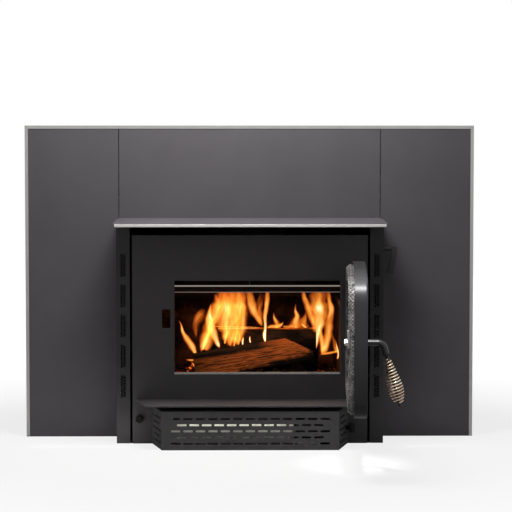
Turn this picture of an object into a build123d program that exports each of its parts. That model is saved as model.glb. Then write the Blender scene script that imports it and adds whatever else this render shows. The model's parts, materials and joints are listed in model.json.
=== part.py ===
"""Wood-burning fireplace insert with its door open, its blower box and its three-piece surround.

The frame: X to the right, Y into the wall, Z up. Y = 0 is the front face of the surround, Z = 0
is the hearth, and X = 0 is the middle of the body. All sizes are millimetres.
"""
import os
from math import atan2, cos, degrees, radians, sin, sqrt, tan

from build123d import *

os.makedirs("parts", exist_ok=True)

# ---------------------------------------------------------------- surround
SURROUND_WIDTH = 1118.0
SURROUND_HEIGHT = 778.0
PANEL_SHEET = 1.6
PANEL_RETURN = 18.0        # depth of the folded edges behind a panel
PANEL_SEAM = 0.8           # gap between the top panel and each side panel
LOW_SCREW_RISE = 90.0      # hearth to the lower screw between panel and casing
LOW_SCREW_DROP = 126.0     # casing top to the upper one
HIGH_SCREW_RISE = 52.0     # hood to the lower screw between two panels
HIGH_SCREW_DROP = 43.0     # surround's top to the upper one
TRIM_WIDTH = 8.0
TRIM_SHEET = 1.2
TRIM_DEPTH = 22.0
MITRE_GAP = 0.3

# ---------------------------------------------------------------- outer casing
COLUMN_WIDTH = 33.0
BODY_BACK = 440.0          # rear face, behind the surround
CASING_SHEET = 2.0
CASING_HEIGHT = 546.0
BASE_SHEET = 3.0
COLUMN_SETBACK = 3.0       # column faces behind the front plate's face
COLUMN_RETURN = 15.0
VENT_HOLE = 4.2
VENT_PITCH = 7.3
VENT_ROWS = 8
VENT_COLUMN_GAP = 6.8
VENT_CLUSTERS = 5
VENT_CLUSTER_PITCH = 74.0
VENT_TOP_DROP = 110.0      # casing top to the middle of the highest cluster

# ---------------------------------------------------------------- hood
HOOD_MARGIN = 1.0          # casing beyond each end of the hood
HOOD_REACH = 250.0         # from the surround's face to the hood's front edge
HOOD_BACK = 20.0           # how far the hood runs behind the surround's face
HOOD_FALL = 6.0
HOOD_SHEET = 2.0
HOOD_LIP = 7.0
HOOD_TRIM_SHEET = 1.5
HOOD_TRIM_MARGIN = 4.0
HOOD_TRIM_DROP = 0.5

# ---------------------------------------------------------------- front plate and firebox
PLATE_REACH = 113.5        # front face ahead of the surround's face
PLATE_SHEET = 5.0
PLATE_WIDTH = 574.0
OUTLET_HEIGHT = 36.0       # hot-air outlet between the plate and the casing top
COLUMN_GAP = 6.0           # between the plate's edge and each column
OPENING_LEFT_MARGIN = 103.0
OPENING_RIGHT_MARGIN = 67.0
OPENING_SILL = 66.5        # above the firebox's floor plate
OPENING_HEIGHT = 223.5
OPENING_CORNER = 3.0
SILL_ROUND = 3.0
SLOT_WIDTH = 20.5
SLOT_HEIGHT = 46.5
SLOT_OUT = 20.3            # slot's middle beyond the opening's left edge
SLOT_RISE = 8.0            # slot's middle above the latch axis
FIREBOX_MARGIN = 25.0      # plate's edge beyond the firebox's inner face
FIREBOX_SHEET = 5.0
FIREBOX_FLOOR = 108.5      # top face of the floor plate
CEILING_DROP = 10.0        # firebox ceiling below the plate's top
FIREBOX_BACK = 390.0
FLUE_BORE = 152.0
FLUE_WALL = 4.0
FLUE_Y = 190.0
FLUE_STAND = 55.0          # collar above the casing top
FLUE_FLANGE = 15.0
FLUE_GAP = 3.0
RAIL_INSET = 70.0          # from the firebox's inner face
RAIL_FLANGE = 26.0
RAIL_SHEET = 3.0
RAIL_MARGIN = 18.0

# ---------------------------------------------------------------- firebricks, tubes and baffle
BRICK_THICK = 32.0
BRICK_WIDTH = 113.0
BRICK_LENGTH = 228.0
BRICK_GAP = 0.8
BRICK_FRONT_GAP = 28.0     # front plate's back face to the first brick
BRICKS_ACROSS = 4
SIDE_BRICKS = 4
FLOOR_COURSES = 2
KEEPER_SHEET = 3.0
KEEPER_DROP = 12.0
TUBE_DIAMETER = 19.0
TUBE_WALL = 1.5
TUBE_DROP = 25.0           # tube middles below the top of the opening
TUBE_FIRST_Y = -30.0
TUBE_PITCH = 110.0
TUBE_COUNT = 4
TUBE_HOLE = 3.0
TUBE_HOLE_PITCH = 15.0
TUBE_HOLE_MARGIN = 26.0    # plain tube at each end, in the manifold and beside it
MANIFOLD_SIZE = 26.0
MANIFOLD_WALL = 2.0
BOARD_THICK = 25.0
BOARD_FRONT = -45.0
BOARD_GAP = 1.0

# ---------------------------------------------------------------- secondary air ducts and damper
DUCT_REACH = 52.0
DUCT_FRONT = -93.0
DUCT_DEPTH = 68.0
DUCT_SHEET = 2.0
DUCT_PORT = (30.0, 18.0)   # length along Y and height of the port into the manifold
DAMPER_Y = -59.0
DAMPER_DROP = 72.0         # shaft below the casing top
DAMPER_SHAFT = 10.0
DAMPER_FLAP = (43.0, 58.0, 3.0)
RUNNING_GAP = 0.3
LEVER_THICK = 9.0
LEVER_WIDTH = 15.0
LEVER_RISE = 7.0           # lever's top above the shaft
LEVER_DROP = 70.0
LEVER_OUT = 22.0           # casing to the lever's near edge at its top
LEVER_LEAN = 8.0
LEVER_ROUND = 2.5

# ---------------------------------------------------------------- ash lip and blower
LIP_SHEET = 5.0
LIP_REACH = 108.0          # ahead of the front plate
LIP_MARGIN = 9.0           # plate beyond each end of the lip's back edge
LIP_TAPER = 26.5
BLOWER_REACH = 104.5       # ahead of the front plate
BLOWER_HEIGHT = 93.0
BLOWER_MARGIN = 48.0       # plate beyond each side of the box
BLOWER_TAPER = 27.5
BLOWER_SHEET = 1.6
BLOWER_FLANGE = 14.0
SLIT_LENGTH = 23.3
SLIT_HEIGHT = 5.0
SLIT_PITCH = 29.8
SLIT_ROW_PITCH = 14.8
SLIT_ROWS = 5
SLIT_DROP = 1.0            # slit rows below the middle of the wall
SLIT_MARGIN = 15.0         # least plain wall left over beside the longest row
FAN_Y_REACH = 54.0         # fan axis ahead of the front plate
SCROLL_RADIUS = 43.0
SCROLL_SHEET = 1.2
SCROLL_LEFT_MARGIN = 21.5  # inside the ends of the box's front wall
SCROLL_RIGHT_MARGIN = 107.5
SCROLL_MOUTH = 36.0
SCROLL_INLET_Z = 67.0      # lower edge of the inlet along the scroll's top front
MOTOR_DIAMETER = 64.0
MOTOR_LENGTH = 52.0
MOTOR_CAP = 6.0
MOTOR_GAP = 8.0            # scroll's end to the motor's cap
FAN_SHAFT = 6.35
WHEEL_DIAMETER = 66.0
WHEEL_MARGIN = 5.0         # wheel's end to the inside of the scroll's end
WHEEL_BLADES = 24
WHEEL_BLADE_DEPTH = 8.0
WHEEL_RING = 1.5
WHEEL_DISCS = 5
WHEEL_HUB = 14.0
PASSAGE_MARGIN = 6.0       # air passage in the front plate beyond the scroll's ends
PASSAGE_BOTTOM = 8.0
PASSAGE_TOP = 84.0
GLAND_DIAMETER = 10.0
GLAND_LENGTH = 6.0
GLAND_SETBACK = 14.0
GLAND_Z = 40.0

# ---------------------------------------------------------------- speed knob
KNOB_INSET = 17.0          # from the plate's left edge
KNOB_Z = 61.0
KNOB_DIAMETER = 18.0
KNOB_LENGTH = 13.0
KNOB_STEM = 6.0
KNOB_STEM_DEPTH = 10.0
CONTROLLER = (36.0, 28.0, 40.0)

# ---------------------------------------------------------------- primary air slide
AIR_ROD_INSET = 39.0       # from the plate's right edge
AIR_ROD_Z = 42.5
AIR_ROD = 8.0
AIR_ROD_REACH = 24.0       # rod ahead of the front plate, pushed in
AIR_BOX = (36.0, 160.0)
AIR_BOX_BOTTOM = 30.0
AIR_PORT = (22.0, 40.0)
AIR_SLOT_MARGIN = 4.0
AIR_SPARE = 4.0            # slide plate to the box's front wall when pulled out
AIR_PLATE = (30.0, 54.0, 2.0)
AIR_TRAVEL = 40.0          # stroke of the slide
AIR_KNOB = (13.0, 15.0, 21.0)

# ---------------------------------------------------------------- door
HINGE_OUT = 41.0           # hinge axis beyond the opening's right edge
HINGE_REACH = 20.0         # hinge axis ahead of the front plate
DOOR_OPEN = 87.2           # degrees open as the insert is modelled
DOOR_START = 11.0          # axis to the hinge-side edge
DOOR_OVERLAP = 60.0        # closed door beyond the opening's left edge
DOOR_DROP = 42.0           # door's bottom below the opening
ARCH_DROP = 8.5            # arch springs below the top of the opening
ARCH_RISE = 71.0
SHOULDER_RADIUS = 52.0
DOOR_CORNER = 36.0
DOOR_DEPTH = 28.7
DOOR_GAP = 4.5             # closed door's rim ahead of the front plate
DOOR_FACE = 8.0
DOOR_RIM = 34.0
DOOR_EDGE_RADIUS = 4.0
GROOVE_INSET = 6.5
GROOVE_DEPTH = 6.0
ROPE_DIAMETER = 20.3
ROPE_FIT = 0.2
WINDOW_INSET = 74.0
WINDOW_CORNER = 14.0
GLASS_OVERLAP = 13.0
GLASS_THICK = 5.0
GASKET_WIDTH = 10.0
GASKET_THICK = 3.0
CLIP = (20.0, 24.0, 3.0)
CLIP_OVERLAP = 8.0
CLIP_SPREAD = 100.0
CLIP_BOSS = 10.0
KNUCKLE_DIAMETER = 16.0
KNUCKLE_HEIGHT = 21.6
BRACKET_HEIGHT = 16.0
HINGE_RISES = (43.0, 217.0)  # brackets above the door's bottom
HINGE_CLEARANCE = 0.4
PIN_DIAMETER = 8.0
PIN_HEAD = (12.0, 3.0)
PIN_FIT = 0.3

# ---------------------------------------------------------------- latch and handle
LATCH_RISE = 165.0         # latch axis above the door's bottom
LATCH_SHAFT = 14.0
LATCH_THREAD = 8.0
LATCH_BOSS = 25.0
PAWL = (12.0, 40.0, 5.0)
PAWL_BELOW = 13.0
PAWL_GAP = 0.5
NUT_FLATS = 13.0
NUT_THICK = 6.5
HANDLE_CORNER = 34.0       # corner of the rod ahead of the door's face
HANDLE_LEAN = 15.0
HANDLE_BEND = 16.0
HANDLE_ROD = 7.0
HANDLE_LENGTH = 143.0
HANDLE_TAPER = 8.0
GRIP_START = 34.0
COIL_PITCH = 6.5
COIL_WIRE = 3.4
COIL_RADII = (5.2, 6.0, 7.4, 8.7, 9.9, 11.1, 12.4, 13.7, 14.9, 15.9, 16.4, 16.2, 15.3, 13.7, 11.3, 8.2)

# ---------------------------------------------------------------- fasteners and feet
SCREW_SHANK = 5.0
SCREW_HEAD = 9.0
SCREW_HEAD_HEIGHT = 3.0
SCREW_LENGTH = 8.0
BOLT_DIAMETER = 10.0
BOLT_LENGTH = 62.0
BOLT_INSET = 56.0          # from the casing's sides
BOLT_NUT = (17.0, 9.0)

# ---------------------------------------------------------------- firewood
FRONT_LOG_LENGTH = 302.0
FRONT_LOG_LEFT = -134.0
FRONT_LOG_Y = 15.0
FRONT_LOG_LEAN = 9.0       # rises to the right
FRONT_LOG_SECTION = ((0, 0), (78, 0), (84, 34), (56, 64), (12, 58))
LOG_ROUND = 10.0
SPLIT_END = (66.0, 47.0)   # length and height of the slanting split at the log's right end
REAR_LOG_DIAMETER = 84.0
REAR_LOG_LENGTH = 300.0
REAR_LOG_X = 30.0
REAR_LOG_Y = 215.0
TOP_LOG_DIAMETER = 70.0
TOP_LOG_LENGTH = 252.0
TOP_LOG_X = 46.0
TOP_LOG_Y = 150.0
CROSS_LOG_X = 120.0
CROSS_LOG_LENGTH = 100.0

# ---------------------------------------------------------------- places worked out from the sizes
PLATE_HALF = PLATE_WIDTH / 2
PLATE_HEIGHT = CASING_HEIGHT - OUTLET_HEIGHT
PLATE_FRONT = -PLATE_REACH
PLATE_BACK = PLATE_FRONT + PLATE_SHEET
COLUMN_INNER = PLATE_HALF + COLUMN_GAP
COLUMN_FRONT = PLATE_FRONT + COLUMN_SETBACK
BODY_HALF = COLUMN_INNER + COLUMN_WIDTH
COLUMN_MIDDLE = (COLUMN_INNER + BODY_HALF) / 2
VENT_TOP_CENTRE = CASING_HEIGHT - VENT_TOP_DROP
BOLT_X = BODY_HALF - BOLT_INSET
HOOD_HALF = BODY_HALF - HOOD_MARGIN
HOOD_TOP = CASING_HEIGHT + HOOD_SHEET
PANEL_SCREWS_LOW = (LOW_SCREW_RISE, CASING_HEIGHT - LOW_SCREW_DROP)
PANEL_SCREWS_HIGH = (HOOD_TOP + HIGH_SCREW_RISE, SURROUND_HEIGHT - HIGH_SCREW_DROP)
OPENING_LEFT = OPENING_LEFT_MARGIN - PLATE_HALF
OPENING_RIGHT = PLATE_HALF - OPENING_RIGHT_MARGIN
OPENING_BOTTOM = FIREBOX_FLOOR + OPENING_SILL
OPENING_TOP = OPENING_BOTTOM + OPENING_HEIGHT
FLOOR_UNDER = FIREBOX_FLOOR - FIREBOX_SHEET
FIREBOX_CEILING = PLATE_HEIGHT - CEILING_DROP
FIREBOX_HALF = PLATE_HALF - FIREBOX_MARGIN
FIREBOX_OUTER = FIREBOX_HALF + FIREBOX_SHEET
RAIL_X = FIREBOX_HALF - RAIL_INSET
BRICK_FRONT = PLATE_BACK + BRICK_FRONT_GAP
BRICK_INNER = FIREBOX_HALF - BRICK_THICK
FLOOR_TOP = FIREBOX_FLOOR + BRICK_THICK
TUBE_Z = OPENING_TOP - TUBE_DROP
MANIFOLD_TOP = TUBE_Z + TUBE_DIAMETER / 2
MANIFOLD_BOTTOM = MANIFOLD_TOP - MANIFOLD_SIZE
MANIFOLD_INNER = FIREBOX_HALF - MANIFOLD_SIZE
TUBE_HOLES = int(2 * (MANIFOLD_INNER - TUBE_HOLE_MARGIN) / TUBE_HOLE_PITCH) + 1
DUCT_OUTER = FIREBOX_OUTER + DUCT_REACH
DAMPER_Z = CASING_HEIGHT - DAMPER_DROP
LEVER_TOP = DAMPER_Z + LEVER_RISE
LIP_BACK_HALF = PLATE_HALF - LIP_MARGIN
BLOWER_BACK_HALF = PLATE_HALF - BLOWER_MARGIN
BLOWER_FRONT_HALF = BLOWER_BACK_HALF - BLOWER_TAPER
SIDE_LENGTH = sqrt(BLOWER_TAPER**2 + BLOWER_REACH**2)
SCROLL_LEFT = SCROLL_LEFT_MARGIN - BLOWER_FRONT_HALF
SCROLL_RIGHT = BLOWER_FRONT_HALF - SCROLL_RIGHT_MARGIN
KNOB_X = KNOB_INSET - PLATE_HALF
AIR_ROD_X = PLATE_HALF - AIR_ROD_INSET
HINGE_X = OPENING_RIGHT + HINGE_OUT
HINGE_Y = PLATE_FRONT - HINGE_REACH
DOOR_WIDTH = HINGE_X - DOOR_START - OPENING_LEFT + DOOR_OVERLAP
DOOR_BOTTOM = OPENING_BOTTOM - DOOR_DROP
ARCH_SPRING = OPENING_TOP - ARCH_DROP
HINGE_HEIGHTS = [DOOR_BOTTOM + rise for rise in HINGE_RISES]
LATCH_Z = DOOR_BOTTOM + LATCH_RISE
SLOT_X = OPENING_LEFT - SLOT_OUT
SLOT_Z = LATCH_Z + SLOT_RISE
FRAME_IN = HINGE_REACH - DOOR_GAP
FRAME_OUT = FRAME_IN - DOOR_DEPTH
FACE_IN = FRAME_OUT + DOOR_FACE
DOOR_END = DOOR_START + DOOR_WIDTH
DOOR_MIDDLE = DOOR_START + DOOR_WIDTH / 2
ARCH_RADIUS = ((DOOR_WIDTH / 2) ** 2 + ARCH_RISE**2 - DOOR_WIDTH * SHOULDER_RADIUS) / (
    2 * (ARCH_RISE - SHOULDER_RADIUS))
ARCH_CENTRE = ARCH_SPRING + ARCH_RISE - ARCH_RADIUS
ARCH_ANGLE = degrees(atan2(ARCH_RADIUS - ARCH_RISE, DOOR_WIDTH / 2 - SHOULDER_RADIUS))
LATCH_S = HINGE_X - SLOT_X
GLASS_INSET = WINDOW_INSET - GLASS_OVERLAP
GROOVE_WIDTH = ROPE_DIAMETER + ROPE_FIT
ROPE_INSET = GROOVE_INSET + GROOVE_WIDTH / 2
ROPE_LEVEL = FRAME_IN - GROOVE_DEPTH + ROPE_DIAMETER / 2
PAWL_LEVEL = HINGE_REACH + PLATE_SHEET + PAWL_GAP
NUT_LEVEL = PAWL_LEVEL + PAWL[2]

FLANGE_OUTER = BLOWER_BACK_HALF - BLOWER_SHEET
BLOWER_SCREW_POINTS = [
    (side * (FLANGE_OUTER - BLOWER_FLANGE / 2), z)
    for side in (-1, 1) for z in (PASSAGE_BOTTOM + SCREW_HEAD, PASSAGE_TOP - SCREW_HEAD)]

# The open door's own plane: x from the hinge axis to the free edge, y up, z to the fire side.
OPEN = radians(DOOR_OPEN)
DOOR_PLANE = Plane(
    origin=(HINGE_X, HINGE_Y, 0), x_dir=(-cos(OPEN), -sin(OPEN), 0), z_dir=(-sin(OPEN), cos(OPEN), 0))


def block(x, y, z, mode=Mode.ADD):
    """A block over three ranges, each given as its two ends."""
    middle = ((x[0] + x[1]) / 2, (y[0] + y[1]) / 2, (z[0] + z[1]) / 2)
    with Locations(middle):
        Box(abs(x[1] - x[0]), abs(y[1] - y[0]), abs(z[1] - z[0]), mode=mode)


def sided(side, near, far):
    """A range of X on the left (-1) or the right (1)."""
    return (side * near, side * far)


def front_plane(y):
    """Sketch plane across the insert at depth y, with X to the right, Z up and its normal to the room."""
    return Plane(origin=(0, y, 0), x_dir=(1, 0, 0), z_dir=(0, -1, 0))


# ================================================================ base and casing
with BuildPart() as base_plate:
    block((-BODY_HALF + CASING_SHEET, BODY_HALF - CASING_SHEET), (PLATE_BACK, BODY_BACK - CASING_SHEET),
          (0, BASE_SHEET))
    for side in (-1, 1):
        block(sided(side, COLUMN_INNER, BODY_HALF), (PLATE_BACK, COLUMN_FRONT + COLUMN_RETURN),
              (0, BASE_SHEET), Mode.SUBTRACT)
    bolt_y = (FIREBOX_BACK + FIREBOX_SHEET + BODY_BACK - CASING_SHEET) / 2
    with Locations((-BOLT_X, bolt_y, BASE_SHEET), (BOLT_X, bolt_y, BASE_SHEET)):
        Hole(radius=BOLT_DIAMETER / 2 + PIN_FIT, depth=BASE_SHEET)
base_plate.part.label = "base_plate"
export_step(base_plate.part, "parts/base_plate.step")

with BuildPart() as levelling_bolts:
    with Locations((-BOLT_X, bolt_y, 0), (BOLT_X, bolt_y, 0)):
        Cylinder(BOLT_DIAMETER / 2, BOLT_LENGTH, align=(Align.CENTER, Align.CENTER, Align.MIN))
    with BuildSketch(Plane.XY.offset(BASE_SHEET)):
        with Locations((-BOLT_X, bolt_y), (BOLT_X, bolt_y)):
            RegularPolygon(BOLT_NUT[0] / 2, 6, major_radius=False)
    extrude(amount=BOLT_NUT[1])
levelling_bolts.part.label = "levelling_bolts"
export_step(levelling_bolts.part, "parts/levelling_bolts.step")


def vent_points(side):
    """Centres of the small vent holes of one column: five clusters of two staggered rows."""
    points = []
    for cluster in range(VENT_CLUSTERS):
        middle = VENT_TOP_CENTRE - cluster * VENT_CLUSTER_PITCH
        for column, count in ((-1, VENT_ROWS), (1, VENT_ROWS - 1)):
            x = side * COLUMN_MIDDLE + column * VENT_COLUMN_GAP / 2
            top = middle + (count - 1) * VENT_PITCH / 2
            points += [(x, top - row * VENT_PITCH) for row in range(count)]
    return points


def side_casing(side):
    """Side sheet with its folded front column, vented, and the column's return."""
    with BuildPart() as casing:
        block(sided(side, BODY_HALF - CASING_SHEET, BODY_HALF), (COLUMN_FRONT, BODY_BACK), (0, CASING_HEIGHT))
        block(sided(side, COLUMN_INNER, BODY_HALF), (COLUMN_FRONT, COLUMN_FRONT + CASING_SHEET),
              (0, CASING_HEIGHT))
        block(sided(side, COLUMN_INNER, COLUMN_INNER + CASING_SHEET),
              (COLUMN_FRONT, COLUMN_FRONT + COLUMN_RETURN), (0, CASING_HEIGHT))
        with BuildSketch(front_plane(COLUMN_FRONT)):
            with Locations(*vent_points(side)):
                Circle(VENT_HOLE / 2)
        extrude(amount=-CASING_SHEET, mode=Mode.SUBTRACT)
        with BuildSketch(Plane.YZ.offset(side * BODY_HALF)):
            with Locations(*[(PANEL_RETURN / 2, z) for z in PANEL_SCREWS_LOW]):
                Circle(SCREW_SHANK / 2)
            if side > 0:
                with Locations((DAMPER_Y, DAMPER_Z)):
                    Circle(DAMPER_SHAFT / 2 + RUNNING_GAP)
        extrude(amount=-side * CASING_SHEET, mode=Mode.SUBTRACT)
    return casing


side_casing_left = side_casing(-1)
side_casing_left.part.label = "side_casing_left"
export_step(side_casing_left.part, "parts/side_casing_left.step")
side_casing_right = side_casing(1)
side_casing_right.part.label = "side_casing_right"
export_step(side_casing_right.part, "parts/side_casing_right.step")

with BuildPart() as casing_back:
    block((-BODY_HALF + CASING_SHEET, BODY_HALF - CASING_SHEET), (BODY_BACK - CASING_SHEET, BODY_BACK),
          (0, CASING_HEIGHT))
casing_back.part.label = "casing_back"
export_step(casing_back.part, "parts/casing_back.step")

with BuildPart() as casing_top:
    block((-BODY_HALF + CASING_SHEET, BODY_HALF - CASING_SHEET), (0, BODY_BACK - CASING_SHEET),
          (CASING_HEIGHT - CASING_SHEET, CASING_HEIGHT))
    with Locations((0, FLUE_Y, CASING_HEIGHT)):
        Hole(radius=FLUE_BORE / 2 + FLUE_WALL + FLUE_GAP, depth=CASING_SHEET)
casing_top.part.label = "casing_top"
export_step(casing_top.part, "parts/casing_top.step")

# ================================================================ hood over the hot-air outlet
HOOD_FRONT = -HOOD_REACH
HOOD_UNDER = CASING_HEIGHT
with BuildPart() as hood:
    with BuildSketch(Plane.YZ.offset(-HOOD_HALF)):
        Polygon((HOOD_BACK, HOOD_UNDER), (HOOD_BACK, HOOD_TOP), (PLATE_FRONT, HOOD_TOP),
                (HOOD_FRONT, HOOD_TOP - HOOD_FALL), (HOOD_FRONT, HOOD_TOP - HOOD_FALL - HOOD_LIP),
                (HOOD_FRONT + HOOD_SHEET, HOOD_TOP - HOOD_FALL - HOOD_LIP),
                (HOOD_FRONT + HOOD_SHEET, HOOD_UNDER - HOOD_FALL), (PLATE_FRONT, HOOD_UNDER), align=None)
    extrude(amount=2 * HOOD_HALF)
hood.part.label = "hood"
export_step(hood.part, "parts/hood.step")

with BuildPart() as hood_trim:
    half = HOOD_HALF - HOOD_TRIM_MARGIN
    block((-half, half), (HOOD_FRONT - HOOD_TRIM_SHEET, HOOD_FRONT),
          (HOOD_TOP - HOOD_FALL - HOOD_LIP, HOOD_TOP - HOOD_FALL - HOOD_TRIM_DROP))
    fillet(hood_trim.edges().filter_by(Axis.X).group_by(Axis.Y)[0], HOOD_TRIM_SHEET / 2)
hood_trim.part.label = "hood_trim"
export_step(hood_trim.part, "parts/hood_trim.step")

# ================================================================ front plate and firebox shell
with BuildPart() as front_plate:
    block((-PLATE_HALF, PLATE_HALF), (PLATE_FRONT, PLATE_BACK), (0, PLATE_HEIGHT))
    with BuildSketch(front_plane(PLATE_FRONT)):
        with Locations(((OPENING_LEFT + OPENING_RIGHT) / 2, (OPENING_BOTTOM + OPENING_TOP) / 2)):
            RectangleRounded(OPENING_RIGHT - OPENING_LEFT, OPENING_TOP - OPENING_BOTTOM, OPENING_CORNER)
        with Locations((SLOT_X, SLOT_Z)):
            RectangleRounded(SLOT_WIDTH, SLOT_HEIGHT, OPENING_CORNER)
        with Locations(((SCROLL_LEFT + SCROLL_RIGHT) / 2, (PASSAGE_BOTTOM + PASSAGE_TOP) / 2)):
            Rectangle(SCROLL_RIGHT - SCROLL_LEFT + 2 * PASSAGE_MARGIN, PASSAGE_TOP - PASSAGE_BOTTOM)
        with Locations((KNOB_X, KNOB_Z)):
            Circle(KNOB_STEM / 2 + RUNNING_GAP)
        with Locations((AIR_ROD_X, AIR_ROD_Z)):
            Circle(AIR_ROD / 2 + RUNNING_GAP)
        with Locations(*BLOWER_SCREW_POINTS):
            Circle(SCREW_SHANK / 2)
    extrude(amount=-PLATE_SHEET, mode=Mode.SUBTRACT)
    sill_edges = front_plate.edges().filter_by(Axis.X).filter_by_position(
        Axis.Z, OPENING_BOTTOM - 1, OPENING_BOTTOM + 1).group_by(Axis.Y)
    fillet(sill_edges[0], SILL_ROUND)
front_plate.part.label = "front_plate"
export_step(front_plate.part, "parts/front_plate.step")

AIR_SLOT_WIDTH = AIR_BOX[0] - 2 * AIR_SLOT_MARGIN
with BuildPart() as firebox_bottom:
    block((-FIREBOX_OUTER, FIREBOX_OUTER), (PLATE_BACK, FIREBOX_BACK + FIREBOX_SHEET),
          (FLOOR_UNDER, FIREBOX_FLOOR))
    block((AIR_ROD_X - AIR_SLOT_WIDTH / 2, FIREBOX_HALF - DUCT_SHEET),
          (PLATE_BACK + AIR_SLOT_MARGIN, BRICK_FRONT - AIR_SLOT_MARGIN), (FLOOR_UNDER, FIREBOX_FLOOR),
          Mode.SUBTRACT)
firebox_bottom.part.label = "firebox_bottom"
export_step(firebox_bottom.part, "parts/firebox_bottom.step")

DUCT_MIDDLE = DUCT_FRONT + DUCT_DEPTH / 2
PORT_Z = (MANIFOLD_BOTTOM + MANIFOLD_TOP) / 2


def firebox_side(side):
    """Side plate of the firebox with its port for secondary air."""
    with BuildPart() as plate:
        block(sided(side, FIREBOX_HALF, FIREBOX_OUTER), (PLATE_BACK, FIREBOX_BACK + FIREBOX_SHEET),
              (FIREBOX_FLOOR, FIREBOX_CEILING))
        block(sided(side, FIREBOX_HALF, FIREBOX_OUTER),
              (DUCT_MIDDLE - DUCT_PORT[0] / 2, DUCT_MIDDLE + DUCT_PORT[0] / 2),
              (PORT_Z - DUCT_PORT[1] / 2, PORT_Z + DUCT_PORT[1] / 2), Mode.SUBTRACT)
    return plate


firebox_side_left = firebox_side(-1)
firebox_side_left.part.label = "firebox_side_left"
export_step(firebox_side_left.part, "parts/firebox_side_left.step")
firebox_side_right = firebox_side(1)
firebox_side_right.part.label = "firebox_side_right"
export_step(firebox_side_right.part, "parts/firebox_side_right.step")

with BuildPart() as firebox_back:
    block((-FIREBOX_HALF, FIREBOX_HALF), (FIREBOX_BACK, FIREBOX_BACK + FIREBOX_SHEET),
          (FIREBOX_FLOOR, FIREBOX_CEILING))
firebox_back.part.label = "firebox_back"
export_step(firebox_back.part, "parts/firebox_back.step")

CEILING_TOP = FIREBOX_CEILING + FIREBOX_SHEET
with BuildPart() as firebox_top:
    block((-FIREBOX_OUTER, FIREBOX_OUTER), (PLATE_BACK, FIREBOX_BACK + FIREBOX_SHEET),
          (FIREBOX_CEILING, CEILING_TOP))
    with Locations((0, FLUE_Y, CEILING_TOP)):
        Hole(radius=FLUE_BORE / 2, depth=FIREBOX_SHEET)
firebox_top.part.label = "firebox_top"
export_step(firebox_top.part, "parts/firebox_top.step")

with BuildPart() as flue_collar:
    with BuildSketch(Plane.XY.offset(CEILING_TOP)):
        with Locations((0, FLUE_Y)):
            Circle(FLUE_BORE / 2 + FLUE_WALL + FLUE_FLANGE)
            Circle(FLUE_BORE / 2, mode=Mode.SUBTRACT)
    extrude(amount=FIREBOX_SHEET)
    with BuildSketch(Plane.XY.offset(CEILING_TOP)):
        with Locations((0, FLUE_Y)):
            Circle(FLUE_BORE / 2 + FLUE_WALL)
            Circle(FLUE_BORE / 2, mode=Mode.SUBTRACT)
    extrude(amount=CASING_HEIGHT + FLUE_STAND - CEILING_TOP)
flue_collar.part.label = "flue_collar"
export_step(flue_collar.part, "parts/flue_collar.step")

with BuildPart() as support_rails:
    for side in (-1, 1):
        rail_y = (PLATE_BACK + RAIL_MARGIN, FIREBOX_BACK - RAIL_MARGIN)
        block(sided(side, RAIL_X, RAIL_X + RAIL_SHEET), rail_y, (BASE_SHEET, FLOOR_UNDER))
        block(sided(side, RAIL_X, RAIL_X + RAIL_FLANGE), rail_y, (BASE_SHEET, BASE_SHEET + RAIL_SHEET))
        block(sided(side, RAIL_X, RAIL_X + RAIL_FLANGE), rail_y, (FLOOR_UNDER - RAIL_SHEET, FLOOR_UNDER))
support_rails.part.label = "support_rails"
export_step(support_rails.part, "parts/support_rails.step")

# ================================================================ firebricks and their keepers
BACK_BRICK_FRONT = FIREBOX_BACK - BRICK_THICK
FLOOR_BRICK_LENGTH = (BACK_BRICK_FRONT - BRICK_FRONT) / FLOOR_COURSES - BRICK_GAP
CUT_BRICK_WIDTH = (2 * BRICK_INNER - BRICK_GAP) / BRICKS_ACROSS - BRICK_GAP
with BuildPart() as floor_bricks:
    with Locations((0, (BRICK_FRONT + BACK_BRICK_FRONT - BRICK_GAP) / 2, FIREBOX_FLOOR + BRICK_THICK / 2)):
        with GridLocations(CUT_BRICK_WIDTH + BRICK_GAP, FLOOR_BRICK_LENGTH + BRICK_GAP, BRICKS_ACROSS,
                           FLOOR_COURSES):
            Box(CUT_BRICK_WIDTH, FLOOR_BRICK_LENGTH, BRICK_THICK)
floor_bricks.part.label = "floor_bricks"
export_step(floor_bricks.part, "parts/floor_bricks.step")

BRICK_TOP = FIREBOX_FLOOR + BRICK_LENGTH
with BuildPart() as side_bricks:
    for side in (-1, 1):
        for course in range(SIDE_BRICKS):
            start = BRICK_FRONT + course * (BRICK_WIDTH + BRICK_GAP)
            block(sided(side, BRICK_INNER, FIREBOX_HALF), (start, start + BRICK_WIDTH),
                  (FIREBOX_FLOOR, BRICK_TOP))
side_bricks.part.label = "side_bricks"
export_step(side_bricks.part, "parts/side_bricks.step")

with BuildPart() as back_bricks:
    with Locations((0, FIREBOX_BACK - BRICK_THICK / 2, FIREBOX_FLOOR + BRICK_LENGTH / 2)):
        with GridLocations(CUT_BRICK_WIDTH + BRICK_GAP, BRICK_THICK, BRICKS_ACROSS, 1):
            Box(CUT_BRICK_WIDTH, BRICK_THICK, BRICK_LENGTH)
back_bricks.part.label = "back_bricks"
export_step(back_bricks.part, "parts/back_bricks.step")

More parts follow.
